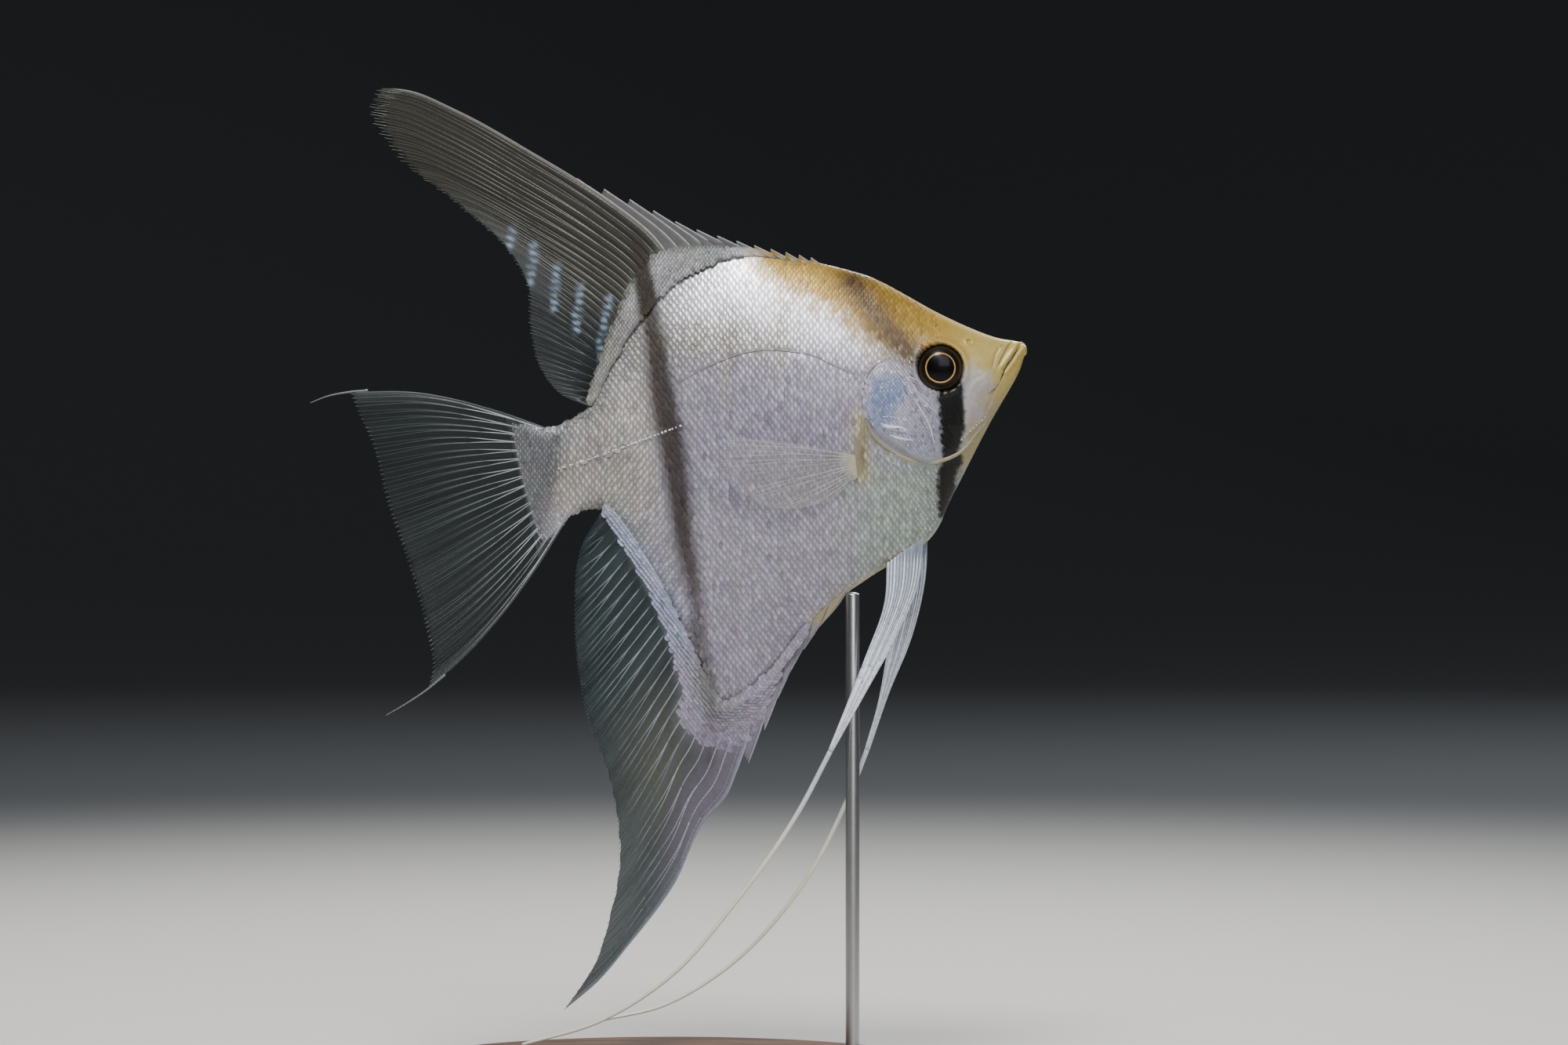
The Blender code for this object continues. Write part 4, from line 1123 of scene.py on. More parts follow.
def make_web(name, fin, node, colour, cover, shift):
    """The web of a fin as a thin shell. It is thick at its base, pleated by the rays, and its
    edge falls back between them."""
    t, a = np.meshgrid(*(np.linspace(0, 1, count) for count in fin["grid"]), indexing="ij")
    between = np.abs(np.sin(math.pi * a * fin.get("pleats", fin["count"])))
    ragged = np.interp(a, *np.transpose(fin.get("ragged", ((0, 0.012), (1, 0.012)))))
    t = t * (1 - ragged * (between**1.5 + 0.5 + 0.5 * noise(a * 30, a, 2.0, 0.6)) * t**8)
    x, z = np.moveaxis(fin_point(fin, a, t), -1, 0)
    y = fin_sway(fin, a, t) + shift(x, z)
    half = fin.get("half", flesh_half)(x, z) + 0.04 * (1 - between)
    vertices, faces = shell(np.stack([x, y, z], axis=-1), half)
    shares = np.tile(a.ravel(), 2), np.tile(t.ravel(), 2), vertices[:, 0], vertices[:, 2]
    values = {"pigment": colour(*shares), "cover": cover(*shares)}
    show(make_piece(name, place(vertices), [faces[:, ::fin["turn"]]], web_material, values), "fin", node)


def make_rays(name, fin, colour, shift):
    """The forked rays of a fin as one piece of many rods."""
    count = fin["count"]
    paths, radii, where = ray_paths(fin)
    paths[..., 1] += shift(paths[..., 0], paths[..., 2])
    vertices, quads, caps = tubes(paths, radii, flat=1.25)
    t = np.concatenate([np.repeat(where, 6, axis=1), where[:, :1], where[:, -1:]], axis=1).ravel()
    each = np.tile(np.random.default_rng(count).uniform(0.65, 1.3, count), len(paths) // count)
    each = np.repeat(each, len(t) // len(paths))[:, None]
    values = {"pigment": colour(t, vertices[:, 0], vertices[:, 2]) * each, "joints": 0.5 + t * fin["joints"]}
    show(make_piece(name, place(vertices), [quads, caps], ray_material, values), "fin")


def make_fin(name, end, fin, node, colour, cover, ray_colour, shift=lambda x, z: 0.0):
    """Web and rays of one fin. `colour` and `cover` are functions of the share across the fin,
    the share out, x and z, and `ray_colour` of the last three. `shift` moves it sideways."""
    make_web(f"{name}_web{end}", fin, node, colour, cover, shift)
    make_rays(f"{name}_rays{end}", fin, ray_colour, shift)


def scale_sheath(name, fin, limit, colour, seed):
    """Small scales on both sides of a fin's fleshy base, pointing the way its rays run, half as
    metallic as the body's, and none within `bare` millimetres of the spines' tips. Their OFBake
    map is the fin's own plane."""
    for side_name, side in SIDES:
        x, z = scale_roots(fin["scales"], seed)
        near = (x < fin["front"]) & (x > -40) & (np.abs(z) < 60)
        x, z = x[near], z[near]
        cover, share = sheath(fin, x, z)
        thinning = np.random.default_rng(seed + 2).uniform(0.3, 0.6, len(x))
        chosen = (cover > thinning) & (inside(BODY_EDGE, x, z) < 1.0)
        chosen &= inside(limit, x, z) > np.where(x > -4, fin["bare"], 0.7)
        x, z, share = x[chosen], z[chosen], share[chosen]
        lean = np.radians(np.interp(share, *np.transpose(fin["lean"])))
        back = np.stack([np.cos(lean), 0 * x, np.sin(lean)], axis=1)
        out = np.stack([0 * x, 0 * x + side, 0 * x], axis=1)
        frames = (np.cross(out, back) * side, back, out)
        roots = np.stack([x, side * (flesh_half(x, z) + 0.07), z], axis=1)
        bake = np.stack([0.5 + x / 100, 0.5 + z / 140], axis=1)
        # The scales on the sheath get three quarters of the painted highlight and shade.
        lay_scales(
            f"{name}_{side_name}", roots, frames, side, fin["scales"], colour,
            lambda x, z: 0.5 * fish_shine(x, z), bake, "fin", seed + 1, 0.75,
        )

# ---------------------------------------------------------------------------------------------
# The soft part of the dorsal fin: a long swept-back sail of olive web on some 26 rays, with rows
# of pale blue dashes low down behind, and a scaly sheath where it leaves the back.

DORSAL_BASE = (6.9, 11.3)  # stations of the last spine and of the last ray
LAST_DORSAL_SPINE = ((-14.2, 41.0), (-22.1, 47.7), (-28.6, 52.1))
DORSAL_SPINE_TIPS = ((13.2, 38.0), (0.0, 40.9), (-9.8, 43.9), (-18.1, 47.9), (-28.6, 52.1))
DORSAL_LEADING_EDGE = ((-35.6, 56.3), (-50.1, 64.4), (-58.5, 67.9), (-63.7, 68.5))
DORSAL_REAR_EDGE = (
    (-63.7, 68.5), (-65.3, 65.0), (-61.3, 57.1), (-50.1, 47.7), (-40.6, 38.8),
    (-37.4, 32.8), (-37.0, 26.5), (-35.1, 18.2), (-31.0, 13.3), (-27.8, 12.0),
)
SPOT_ROWS = (
    ((-22.9, 30.8), (-24.6, 20.5)), ((-27.9, 32.9), (-28.9, 24.4)), ((-32.1, 36.6), (-32.8, 28.4)),
    ((-36.1, 40.4), (-36.8, 33.8)), ((-40.1, 43.0), (-41.0, 38.4)),
)
SHEATH, OLIVE = paint(84, 86, 74), paint(50, 50, 43)
SLATE, SPOT_BLUE = paint(34, 40, 42), paint(146, 166, 190)

dorsal_root = body_line(*DORSAL_BASE, 9, True, 1.2)
DORSAL = {
    "base": dorsal_root,
    "edge": DORSAL_REAR_EDGE,
    "first": np.vstack([dorsal_root[:1], LAST_DORSAL_SPINE, DORSAL_LEADING_EDGE]),
    "last": np.array((dorsal_root[-1], (-27.6, 11.9), (-27.8, 12.0))),
    "ends": ((0, 0), (0.1, 0.04), (0.2, 0.12), (0.35, 0.31), (0.55, 0.56), (0.75, 0.76), (1, 1)),
    "reach": (1.5, 1.0),
    "sway": (1.2, 0.8),
    "rays": (0.125, 0.1, 0.075, 0.045),
    "tips": 0.008,
    "ragged": ((0, 0.045), (0.25, 0.02), (0.4, 0.008), (1, 0.012)),
    "turn": -1,
    "grid": (60, 26 * 6 + 1),
    "count": 26,
    "forks": (0.1, 0.26, 0.55, 1.0),
    "joints": 80.0,
    "line": body_line(4.6, 11.3, 24, True, 0.0),
    "depths": (
        (0, 0.2), (0.15, 0.4), (0.3, 1.4), (0.4, 3.2), (0.5, 5.5),
        (0.6, 5.0), (0.7, 3.4), (0.85, 1.8), (1, 0.9),
    ),
    "lean": ((0, 176), (0.5, 172), (1, 190)),
    "front": 1.0,
    "scales": (0.66, 0.95),
    "bare": 1.6,
}
DORSAL_FRONT = np.vstack([DORSAL_SPINE_TIPS, DORSAL_LEADING_EDGE])
DORSAL_LIMIT = np.vstack([body_line(4.6, 11.3, 12, True, 2.0), DORSAL_REAR_EDGE[:0:-1], DORSAL_FRONT[::-1]])


def spots(x, z):
    """The rows of dashes low on the dorsal fin."""
    total = np.zeros(x.shape)
    for row in SPOT_ROWS:
        gap, share = distance_to(row, x, z)
        turns = 2 * math.pi * math.dist(*row) / 1.25
        dashes = ease(-0.3, 0.7, np.sin(share * turns) + 1.3 * noise(x, z, 1.7, 0.4))
        gap = gap + 0.5 * noise(x, z, 2.2, 1.1)
        total = np.maximum(total, ease(1.15, 0.1, gap) * (0.12 + 0.88 * dashes))
    return total


def bar_layer(x, z, most, softness, low, high):
    """The main bar where it runs out over the dorsal fin, fading from `low` to `high`."""
    return BAR_BROWN, most * band(MAIN_BAR, MAIN_BAR_HALF, softness, x, z) * ease(high, low, z)


def dorsal_sheath_colour(x, z):
    """Olive grey, silver at the body, gold in front as the nape is, and dark along the bar."""
    body = fish_colour(x, z)
    return painted(
        SHEATH,
        (body, 0.85 * sheath(DORSAL, x, z)[0] ** 2),
        (body * 0.75, ease(0, 8, x)),
        bar_layer(x, z, 0.9, 0.6, 38, 42),
    )


def dorsal_colour(a, t, x, z):
    """Olive in front and slate behind, streaked along the rays, with the sheath and the dashes."""
    web = painted(OLIVE, (SLATE, ease(0.45, 0.75, a + 0.1 * t)))
    return painted(
        web * streaks(0.85, 0.4, a, t, 160, 6, 0.7),
        (paint(146, 144, 138), 0.8 * ease(0.025, 0.0, a)),
        (SPOT_BLUE * 0.85, 0.95 * spots(x, z)),
        (dorsal_sheath_colour(x, z) * 0.8, sheath(DORSAL, x, z)[0]),
        bar_layer(x, z, 0.85, 0.8, 39, 44),
    )


def dorsal_cover(a, t, x, z):
    """Opaque on the sheath, clearer towards the edge and behind."""
    clear = 0.72 - 0.3 * ease(0.5, 0.9, a) - 0.12 * ease(0.3, 1, t)
    clear = np.maximum(clear, 0.8 * spots(x, z))
    return clear + (1 - clear) * sheath(DORSAL, x, z)[0]


def dorsal_ray_colour(t, x, z):
    """Pale grey rays, dusky where the bar crosses them and bluish through the dashes."""
    return painted(
        paint(124, 123, 115),
        (paint(120, 121, 116), ease(0.2, 0.9, t)),
        (paint(70, 74, 76), 0.9 * ease(34, 24, z - 0.6 * (x + 28)) * ease(-20, -27, x)),
        (SPOT_BLUE * 1.1, spots(x, z)),
        bar_layer(x, z, 0.85, 0.8, 40, 46),
    )


make_fin("dorsal", "", DORSAL, "dorsal_lobe", dorsal_colour, dorsal_cover, dorsal_ray_colour)
scale_sheath("dorsal_sheath", DORSAL, DORSAL_LIMIT, dorsal_sheath_colour, 51)

# ---------------------------------------------------------------------------------------------
# The soft part of the anal fin: a long sickle of teal-grey web that hangs from the lower rear of
# the body and ends in a point. Blue-white scales line its base.

ANAL_BASE = (7.4, 11.8)
LAST_ANAL_SPINE = ((1.7, -48.4), (0.6, -51.8), (-2.0, -58.4))
ANAL_SPINE_TIPS = ((14.0, -28.6), (9.0, -36.8), (4.9, -46.3), (2.4, -51.6), (-2.0, -58.4))
ANAL_LEADING_EDGE = ((-5.6, -62.4), (-11.2, -73.9), (-19.6, -85.1), (-24.6, -91.0), (-30.9, -96.3))
ANAL_REAR_EDGE = (
    (-24.4, -7.7), (-27.6, -13.0), (-29.1, -26.2), (-27.2, -42.6), (-22.3, -57.5),
    (-21.0, -68.7), (-23.0, -80.5), (-25.6, -88.3), (-30.9, -96.3),
)
TEAL, BASE_BLUE = paint(52, 63, 66), paint(150, 160, 188)

anal_root = body_line(ANAL_BASE[1], ANAL_BASE[0], 9, False, 1.2)
ANAL = {
    "base": anal_root,
    "edge": ANAL_REAR_EDGE,
    "first": np.array((anal_root[0], (-24.2, -7.5), (-24.4, -7.7))),
    "last": np.vstack([anal_root[-1:], LAST_ANAL_SPINE, ANAL_LEADING_EDGE]),
    "ends": ((0, 0), (0.2, 0.2), (0.5, 0.42), (0.75, 0.62), (0.88, 0.78), (1, 1)),
    "reach": (1.0, 8.0),
    "sway": (1.2, 0.6),
    "rays": (0.15, 0.12, 0.09, 0.05),
    "ragged": ((0, 0.012), (0.8, 0.012), (1, 0.004)),
    "turn": -1,
    "grid": (70, 26 * 6 + 1),
    "count": 26,
    "forks": (0.04, 0.4, 0.7, 1.0),
    "joints": 80.0,
    "line": body_line(6.15, 11.8, 28, False, 0.0),
    "depths": (
        (0, 0.7), (0.1, 2.2), (0.19, 3.6), (0.27, 5.5), (0.35, 8.0), (0.4, 6.5),
        (0.44, 5.0), (0.55, 3.2), (0.7, 2.4), (0.94, 1.6), (1, 0.9),
    ),
    "lean": ((0, 196), (0.35, 204), (0.55, 214), (1, 220)),
    "front": 16.0,
    "scales": (0.8, 1.05),
    "bare": 1.4,
}
ANAL_LIMIT = np.vstack(
    [body_line(11.8, 6.15, 14, False, 6.0), ANAL_SPINE_TIPS, ANAL_LEADING_EDGE, ANAL_REAR_EDGE[-2::-1]]
)


def anal_sheath_colour(x, z):
    """Lilac as the flank in front, and blue-white along the base behind."""
    behind = ease(0.44, 0.6, sheath(ANAL, x, z)[1])
    front = fish_colour(x, z) * 0.92
    return painted(front, (LILAC * 0.62, ease(-38, -54, z)), (BASE_BLUE, 0.5 * behind))


def anal_colour(a, t, x, z):
    """Teal grey in streaks along the rays, lilac next to the spines, with the sheath."""
    warm = np.exp(-(((x + 14) / 7) ** 2) - ((z + 52) / 14) ** 2)
    return painted(
        TEAL * streaks(0.75, 0.45, a, t, 150, 5, 1.9),
        (paint(98, 96, 84), 0.5 * warm),
        (LILAC * 0.46, 0.85 * ease(0.8, 0.95, a) * ease(0.8, 0.4, t)),
        (BAR_BROWN, 0.6 * band(MAIN_BAR, MAIN_BAR_HALF, 1.2, x, z)),
        (paint(150, 160, 172), 0.6 * ease(0.985, 1.0, a)),
        (anal_sheath_colour(x, z) * 0.8, sheath(ANAL, x, z)[0]),
    )


def anal_cover(a, t, x, z):
    """Opaque on the sheath and in front, clearer behind and at the edge."""
    clear = 0.66 + 0.22 * ease(0.5, 0.95, a) - 0.14 * ease(0.5, 1, t)
    return clear + (1 - clear) * sheath(ANAL, x, z)[0]


def anal_ray_colour(t, x, z):
    """Grey-white rays that fade into the web towards the edge."""
    front = ease(-40.0, -52.0, z) * ease(-14.0, -6.0, x)
    return painted(
        paint(140, 148, 156), (paint(88, 100, 103), ease(0.25, 0.9, t)), (LILAC * 0.95, front)
    )


make_fin("anal", "", ANAL, "anal_lobe", anal_colour, anal_cover, anal_ray_colour)
scale_sheath("anal_sheath", ANAL, ANAL_LIMIT, anal_sheath_colour, 61)

# ---------------------------------------------------------------------------------------------
# The tail fin: an open fan of dark web on pale forking rays, whose outer rays run on as threads.

TAIL_ROOT = ((-34.0, 7.6), (-29.9, -8.0))
TAIL_UPPER_EDGE = ((-34.0, 7.6), (-43.1, 10.8), (-57.5, 14.0), (-69.2, 14.1))
TAIL_LOWER_EDGE = ((-29.9, -8.0), (-36.7, -18.9), (-50.5, -35.1), (-55.0, -38.9))
TAIL_REAR_EDGE = (
    (-69.2, 14.1), (-67.6, 10.0), (-65.4, 5.2), (-62.6, -5.5), (-58.4, -17.5),
    (-55.2, -29.0), (-54.2, -35.0), (-55.0, -38.9),
)
TAIL_THREADS = {
    "upper": ((-66.0, 14.3), (-69.6, 14.0), (-73.2, 13.3), (-76.3, 12.1)),
    "lower": ((-52.0, -36.4), (-55.4, -39.2), (-59.0, -41.6), (-62.6, -43.7)),
}
TAIL = {
    "base": TAIL_ROOT,
    "edge": TAIL_REAR_EDGE,
    "first": TAIL_UPPER_EDGE,
    "last": TAIL_LOWER_EDGE,
    "sway": (1.3, 0.7),
    "rays": (0.18, 0.125, 0.095, 0.05),
    "half": lambda x, z: np.full(x.shape, 0.07),
    "turn": -1,
    "grid": (50, 17 * 8 + 1),
    "count": 17,
    "pleats": 17 * 4,
    "forks": (0.02, 0.16, 0.45, 1.0),
    "joints": 70.0,
}


def tail_colour(a, t, x, z):
    """Dark slate, paler over the root and along both edges."""
    return painted(
        SLATE * 1.2 * streaks(0.85, 0.4, a, t, 100, 5, 2.9),
        (paint(96, 98, 102), 0.8 * ease(0.2, 0.02, t)),
        (paint(84, 90, 92), 0.6 * ease(0.06, 0.0, np.minimum(a, 1 - a))),
    )


def tail_cover(a, t, x, z):
    """Opaque over the root, half clear between the rays."""
    return 0.95 - 0.4 * ease(0.05, 0.3, t)


def tail_ray_colour(t, x, z):
    """Bright at the root, greyer towards the edge."""
    return painted(paint(164, 168, 170), (paint(124, 130, 130), ease(0.15, 0.9, t)))


def make_thread(name, line, out, radii, material, colours, node, slot, joints=0.0):
    """One long tapered rod along a line in side view and `out` of it, standing for a CAD thread,
    with its first and last colour."""
    count = len(line)
    path = np.stack([line[:, 0], out, line[:, 1]], axis=1)
    vertices, quads, caps = tubes(path[None], np.linspace(*radii, count)[None], sides=10)
    t = np.concatenate([np.repeat(np.linspace(0, 1, count), 10), [0.0, 1.0]])
    pigment = painted(colours[0], (colours[1], ease(0.0, 0.3, t)))
    values = {"pigment": pigment, "joints": 0.5 + t * joints}
    show(make_piece(name, place(vertices), [quads, caps], material, values), slot, node)


make_fin("tail", "", TAIL, "tail_fin", tail_colour, tail_cover, tail_ray_colour)
for edge, (end, points) in enumerate(TAIL_THREADS.items()):
    line = along(points, np.linspace(0, 1, 24))
    grey = [paint(112, 117, 116)] * 2
    sway, node = fin_sway(TAIL, float(edge), np.ones(24)), f"tail_thread_{end}"
    make_thread(f"tail_tip_{end}", line, sway, (0.22, 0.07), ray_material, grey, node, "fin", 20.0)

# ---------------------------------------------------------------------------------------------
# The spiny parts of the dorsal and anal fins: stiff pointed spines that lean back. Behind each
# tip the web falls to a notch on the next spine.

DORSAL_SPINE_BASE, DORSAL_SPINES = (4.6, 6.9), 13
ANAL_SPINE_BASE, ANAL_SPINES = (5.4, 7.4), 7


def spine_lines(base, tips, last, t):
    """Each spine's points at shares `t` of its length: a straight line from its base to its tip,
    bent as the last spine is, in proportion to its length."""
    lines = base[:, None] * (1 - t)[None, :, None] + tips[:, None] * t[None, :, None]
    last = np.vstack([base[-1:], last])
    bend = along(last, t) - last[0] * (1 - t)[:, None] - last[-1] * t[:, None]
    length = np.linalg.norm(tips - base, axis=1)
    return lines + bend[None] * (length / length[-1])[:, None, None] ** 2


def make_spiny_part(name, node, base, tips, last, notch, turn, colour, bone):
    """Panels of web between each two spines, from the tip of the one in front straight to the
    point of the one behind that is nearest to that tip, less `notch`, and the spines."""
    t, a = np.linspace(0, 1, 16), np.linspace(0, 1, 5)[None, :, None]
    length = np.linalg.norm(tips - base, axis=1)
    points, faces, start = [], [], 0
    full = spine_lines(base, tips, last, t)
    for index in range(len(base) - 1):
        behind = tips[index + 1] - base[index + 1]
        share = np.dot(tips[index] - base[index + 1], behind) / length[index + 1] ** 2
        share = min(max(share - notch / length[index + 1], 0.2), 0.97)
        rear = spine_lines(base, tips, last, t * share)[index + 1]
        sheet = (1 - a) * full[index][:, None] + a * rear[:, None]
        x, z = sheet[..., 0], sheet[..., 1]
        half = np.minimum(flesh_half(x, z), 0.06 + 0.5 * (1 - t)[:, None])
        vertices, quads = shell(np.stack([x, 0 * x, z], axis=-1), half)
        points.append(vertices)
        faces.append(quads + start)
        start += len(vertices)
    points, faces = np.vstack(points), [np.vstack(faces)[:, ::turn]]
    values = {"pigment": colour(points[:, 0], points[:, 2]), "cover": np.full(len(points), 0.82)}
    show(make_piece(f"{name}_web", place(points), faces, web_material, values), "fin", node)
    paths = np.stack([full[..., 0], 0 * full[..., 0], full[..., 1]], axis=-1)
    radii = np.linspace(0.24, 0.11, 16)[None] * np.minimum(1, 0.6 + length / 14)[:, None]
    vertices, quads, caps = tubes(paths, radii)
    values = {"pigment": np.broadcast_to(bone, vertices.shape), "joints": np.full(len(vertices), 0.5)}
    show(make_piece(f"{name}_spines", place(vertices), [quads, caps], ray_material, values), "fin")


def spiny_dorsal_colour(x, z):
    """The sheath's colour, paler towards the tips."""
    bare = ease(0.6, 0.1, sheath(DORSAL, x, z)[0])
    return painted(dorsal_sheath_colour(x, z), (paint(92, 92, 92), bare))


def spread(count, quickening):
    """Shares from 0 to 1 whose steps grow: `quickening` of them go with the square."""
    share = np.linspace(0, 1, count)
    return (1 - quickening) * share + quickening * share**2


make_spiny_part(
    "spiny_dorsal", "dorsal_spines",
    along(body_line(*DORSAL_SPINE_BASE, 24, True, 0.8), spread(DORSAL_SPINES, 0.15)),
    along(DORSAL_SPINE_TIPS, spread(DORSAL_SPINES, 0.45)),
    LAST_DORSAL_SPINE, 0.3, -1, spiny_dorsal_colour, paint(156, 152, 154),
)
make_spiny_part(
    "spiny_anal", "anal_spines",
    along(body_line(*ANAL_SPINE_BASE, 24, False, 0.8), spread(ANAL_SPINES, 0.0)),
    along(ANAL_SPINE_TIPS, spread(ANAL_SPINES, 0.35)),
    LAST_ANAL_SPINE, 1.6, 1, lambda x, z: anal_sheath_colour(x, z) * 0.85, paint(144, 142, 154),
)

# ---------------------------------------------------------------------------------------------
# The pelvic fins: two narrow blades of close white strands below the breast, each drawn out into
# one long creamy thread.

PELVIC = {
    "right": {
        "front": ((33.0, -13.9), (32.6, -19.3), (28.3, -29.9), (23.5, -38.5), (16.9, -50.2)),
        "rear": ((26.4, -18.2), (26.4, -22.7), (22.7, -33.6), (19.7, -41.3), (16.3, -49.7)),
        "thread": (
            (16.6, -50.0), (11.1, -60.4), (-0.4, -76.9), (-11.6, -89.7), (-24.5, -98.0), (-38.2, -102.2),
        ),
        "out": (1.0, 3.6, 4.6, 4.2, 2.4),
    },
    "left": {
        "front": ((33.8, -13.6), (33.7, -19.3), (31.4, -29.5), (27.2, -39.9), (23.7, -50.2)),
        "rear": ((27.3, -17.7), (28.2, -23.5), (26.9, -32.2), (25.2, -42.0), (22.9, -50.0)),
        "thread": ((23.3, -50.1), (19.6, -59.5), (9.7, -77.3), (-2.4, -89.7), (-13.5, -96.1), (-24.5, -98.6)),
        "out": (1.0, 3.4, 4.4, 4.0, 3.0),
    },
}


def pelvic_colour(a, t, x, z):
    """Bluish white in long streaks, greyer in front."""
    colour = painted(paint(138, 150, 168), (paint(120, 128, 142), 0.6 * (1 - a)))
    return colour * streaks(0.85, 0.3, a, t, 60, 2, 0.3)


def pelvic_cover(a, t, x, z):
    """Opaque in front, open between the strands behind."""
    strand_end = 1 - 0.42 * ease(0.3, 1.0, a)
    fringe = 0.8 * ease(0.55, 0.95, a) * ease(0.15, 0.4, t)
    return np.clip((1 - fringe) * ease(strand_end + 0.04, strand_end - 0.04, t), 0.0, 1)


def strand_half(x, z):
    """Half the thickness of the pelvic blades, thicker at the breast."""
    return 0.05 + 0.2 * ease(-18.0, -14.0, z)


def make_pelvic_fin(side_name, side, front, rear, thread, out, material):
    """One blade from its front and rear edge, its strands and its thread. `out` is how far out
    it lies: at its root and tip, then along its thread."""
    front = np.vstack([np.array(front[0]) + (0.3, 2.2), front[1:]])
    rear = np.vstack([np.array(rear[0]) + (0.3, 1.6), rear[1:]])
    blade = {
        "base": (front[0], rear[0]),
        "edge": (front[-1], rear[-1]),
        "first": front,
        "last": rear,
        "sway": (0.0, 1.0),
        "half": strand_half,
        "rays": (0.2, 0.15, 0.11, 0.06),
        "turn": 1,
        "grid": (60, 65),
        "count": 11,
        "forks": (0.0, 0.3, 0.6, 1.0),
        "joints": 0.0,
    }

    def shift(x, z):
        """How far out the blade lies, from its root to where its thread begins."""
        return side * (out[0] + (out[1] - out[0]) * ease(-12.0, -50.0, z))

    make_fin(
        "pelvic", f"_{side_name}", blade, f"pelvic_fin_{side_name}", pelvic_colour, pelvic_cover,
        lambda t, x, z: paint(214, 220, 230), shift,
    )
    share = np.linspace(0, 1, 120)
    away = side * hermite(np.linspace(0, 1, 4), np.array(out[1:])[:, None], share)[:, 0]
    cream = paint(186, 194, 206), paint(216, 214, 198)
    node = f"pelvic_thread_{side_name}"
    line = along(thread, share)
    make_thread(f"pelvic_tip_{side_name}", line, away, (0.46, 0.28), material, cream, node, "filament")


thread_material = new_material(
    "pelvic_threads", uneven(900.0, 0.25), Roughness=0.35, Coat_Weight=0.2, Coat_Roughness=0.15
)
for side_name, side in SIDES:
    make_pelvic_fin(side_name, side, **PELVIC[side_name], material=thread_material)

# ---------------------------------------------------------------------------------------------
# The pectoral fins: small clear fans folded back along the flanks, on hair-fine rays that spring
# from a fleshy root behind the gill cover.

PECTORAL_UPPER_EDGE = ((21.0, 2.6), (10.0, 4.7), (-1.5, 6.0))
PECTORAL_LOWER_EDGE = ((21.4, -1.3), (18.4, -4.2), (15.7, -5.9))
PECTORAL_REAR_EDGE = ((-1.5, 6.0), (-2.1, 0.0), (1.4, -4.6), (8.4, -6.9), (15.7, -5.9))


def pectoral_colour(a, t, x, z):
    """Colourless, a little milky, and fleshy at the root."""
    return painted(paint(196, 194, 186), (paint(186, 172, 146), ease(0.12, 0.0, t)))


def pectoral_cover(a, t, x, z):
    """Almost clear, and clearest at the edge."""
    return 0.9 - 0.8 * ease(0.0, 0.16, t) - 0.05 * ease(0.4, 1.0, t)


def make_pectoral_fin(side_name, side):
    """One fan, which is swollen at its root and a film beyond, and its rays."""
    fan = {
        "base": (PECTORAL_UPPER_EDGE[0], PECTORAL_LOWER_EDGE[0]),
        "edge": PECTORAL_REAR_EDGE,
        "first": PECTORAL_UPPER_EDGE,
        "last": PECTORAL_LOWER_EDGE,
        "sway": (0.0, 1.0),
        "half": lambda x, z: 0.03 + 0.35 * ease(19.0, 21.5, x),
        "rays": (0.07, 0.042, 0.026, 0.014),
        "turn": -1,
        "grid": (40, 13 * 6 + 1),
        "count": 13,
        "forks": (0.0, 0.35, 0.65, 1.0),
        "joints": 0.0,
    }

    def shift(x, z):
        """How far out the fan lies: clear of the flank, and further towards its edge."""
        back = ease(21.0, -2.0, x)
        return side * (6.9 + 2.6 * back - 0.12 * np.clip(3.2 - z, 0, 9) * (1 - back))

    make_fin(
        "pectoral", f"_{side_name}", fan, f"pectoral_fin_{side_name}", pectoral_colour, pectoral_cover,
        lambda t, x, z: paint(170, 168, 163), shift,
    )


for side_name, side in SIDES:
    make_pectoral_fin(side_name, side)

# ---------------------------------------------------------------------------------------------
# The stand: an oval base of dark oiled walnut with a rounded top edge, a brushed steel rod that
# ends under the belly, and a small turned collar round the rod's foot.


def grain_noise(tree, stretch, **inputs):
    """Noise in the object's space, stretched along its axes."""
    mapped = add_node(tree, "ShaderNodeMapping", Vector=object_place(tree), Scale=stretch).outputs[0]
    return add_node(tree, "ShaderNodeTexNoise", Vector=mapped, **inputs).outputs["Fac"]


def wood_nodes(tree):
    """Walnut: stretched noise along x for the grain, finer pores across it, a satin oil finish."""
    grain = grain_noise(tree, (14.0, 120.0, 120.0), Scale=3.0, Detail=6.0, Distortion=0.8)
    ramp = add_ramp(tree, grain, ((0.3, paint(48, 31, 22)), (0.72, paint(112, 76, 50))))
    colour, pores = mottled(tree, ramp, 1600.0, 0.5)
    return {"Base_Color": colour, "Normal": bump(tree, pores, 0.2, 0.0002)}


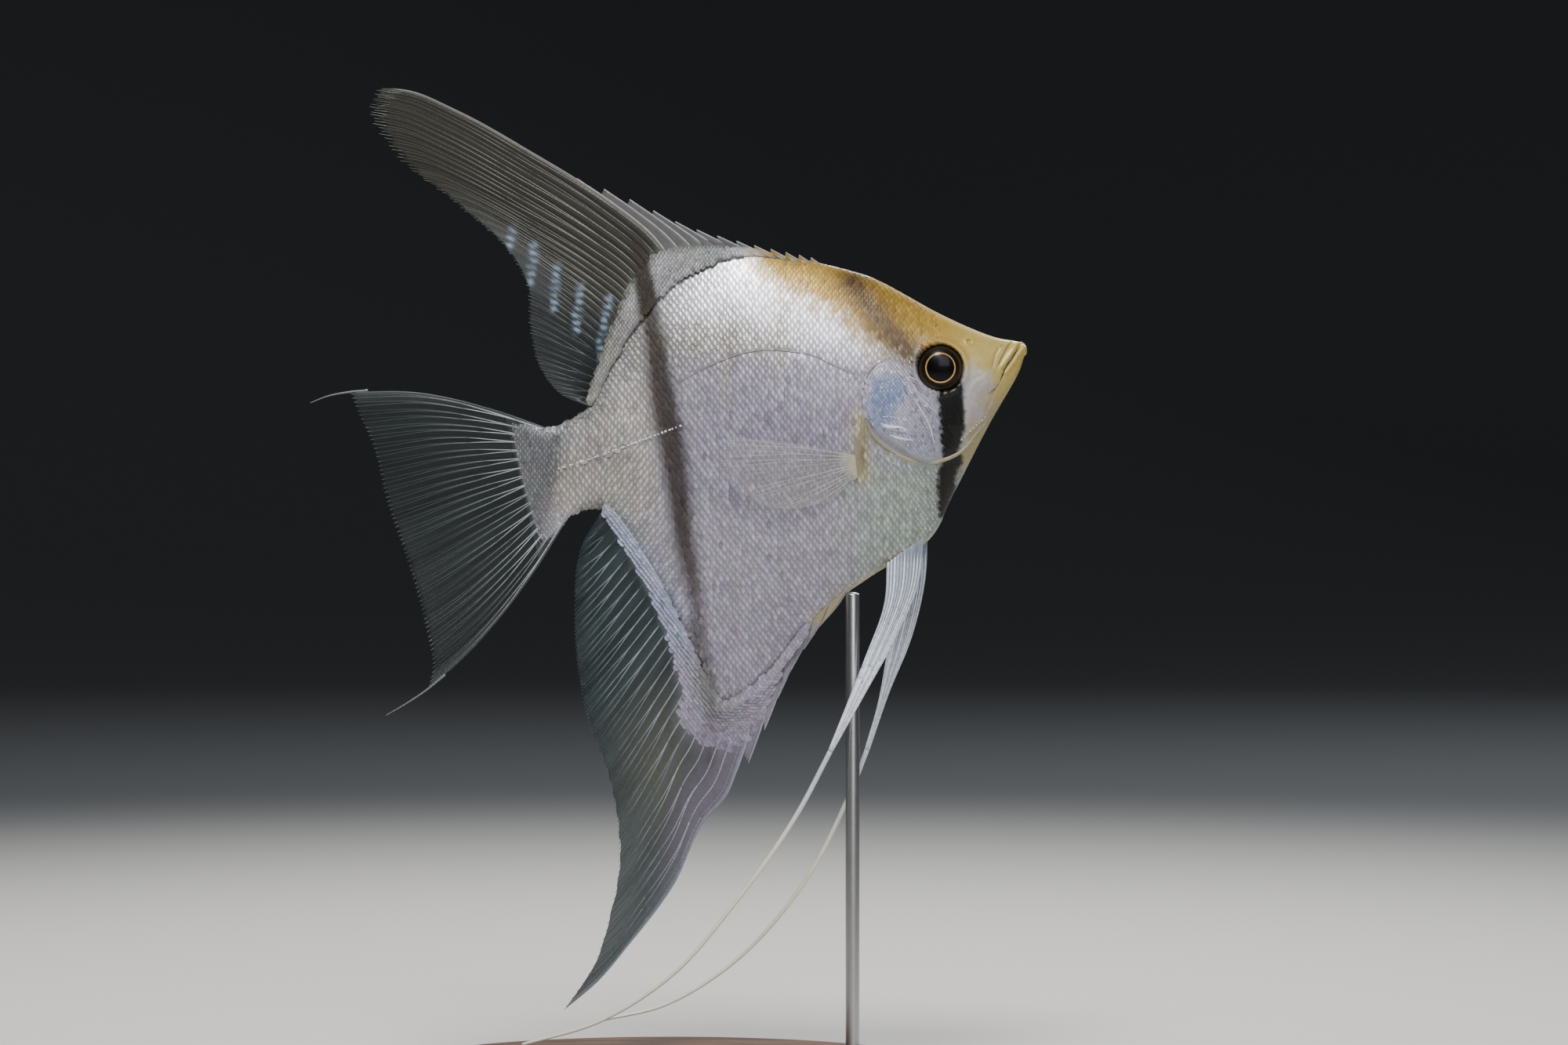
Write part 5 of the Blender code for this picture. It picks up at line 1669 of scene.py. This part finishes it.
def steel_nodes(tree):
    """Brushed steel: fine bright and dull rings round the rod, as from a lathe."""
    rings = grain_noise(tree, (30.0, 30.0, 6000.0), Scale=1.0, Detail=3.0)
    rough = add_node(tree, "ShaderNodeMapRange", Value=rings, To_Min=0.2, To_Max=0.45).outputs[0]
    colour, _ = mottled(tree, paint(188, 188, 190), 500.0, 0.15)
    return {"Base_Color": colour, "Roughness": rough, "Normal": bump(tree, rings, 0.08, 0.0001)}


def turned(name, centre, profile, stretch, material, node, slot, turns=128):
    """A profile of radius and height carried round an upright axis, its ends closed to points;
    `stretch` makes the circle an oval."""
    radius, height = np.transpose(profile)
    rings = revolved(radius, height, turns, stretch, centre)
    points = np.vstack([rings, (*centre, height[0]), (*centre, height[-1])])
    piece = make_piece(name, points, closed_rings(len(radius), turns), material, crease=50)
    show(piece, slot, node)


walnut = new_material("walnut", wood_nodes, Roughness=0.42, Coat_Weight=0.15, Coat_Roughness=0.3)
steel = new_material("brushed_steel", steel_nodes, Metallic=1.0)
low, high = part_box("stand_base")
arc = np.linspace(0, math.pi / 2, 9)
BASE_ROUNDING, BASE_HALF_DEPTH = 0.0016, 0.031  # metres
rounding = 1 - BASE_ROUNDING / BASE_HALF_DEPTH * (1 - np.cos(arc))
base_profile = np.concatenate([
    [(0.982, 0.0), (0.992, 0.0004)],
    np.stack([rounding, high.z - BASE_ROUNDING + BASE_ROUNDING * np.sin(arc)], axis=1),
])
turned("walnut_base", (0, 0), base_profile, (high.x, high.y), walnut, "stand_base", "stand_wood", 200)

low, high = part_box("stand_rod")
rod_centre = ((low.x + high.x) / 2, (low.y + high.y) / 2)
rod_radius = (high.x - low.x) / 2
dome = np.stack([rod_radius * np.cos(arc), high.z + 0.0005 * np.sin(arc) - 0.0002], axis=1)[:-1]
rod_profile = np.vstack([[(rod_radius, low.z)], dome])
turned("steel_rod", rod_centre, rod_profile, (1, 1), steel, "stand_rod", "stand_steel")

low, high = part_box("stand_collar")
wide, tall = (high.x - low.x) / 2, high.z - low.z
collar_profile = (
    (wide, low.z - 0.0003), (wide, low.z + 0.55 * tall), (wide * 0.93, low.z + 0.68 * tall),
    (wide * 0.62, low.z + 0.85 * tall), (wide * 0.5, high.z),
)
turned("steel_collar", rod_centre, np.array(collar_profile), (1, 1), steel, "stand_collar", "stand_steel")
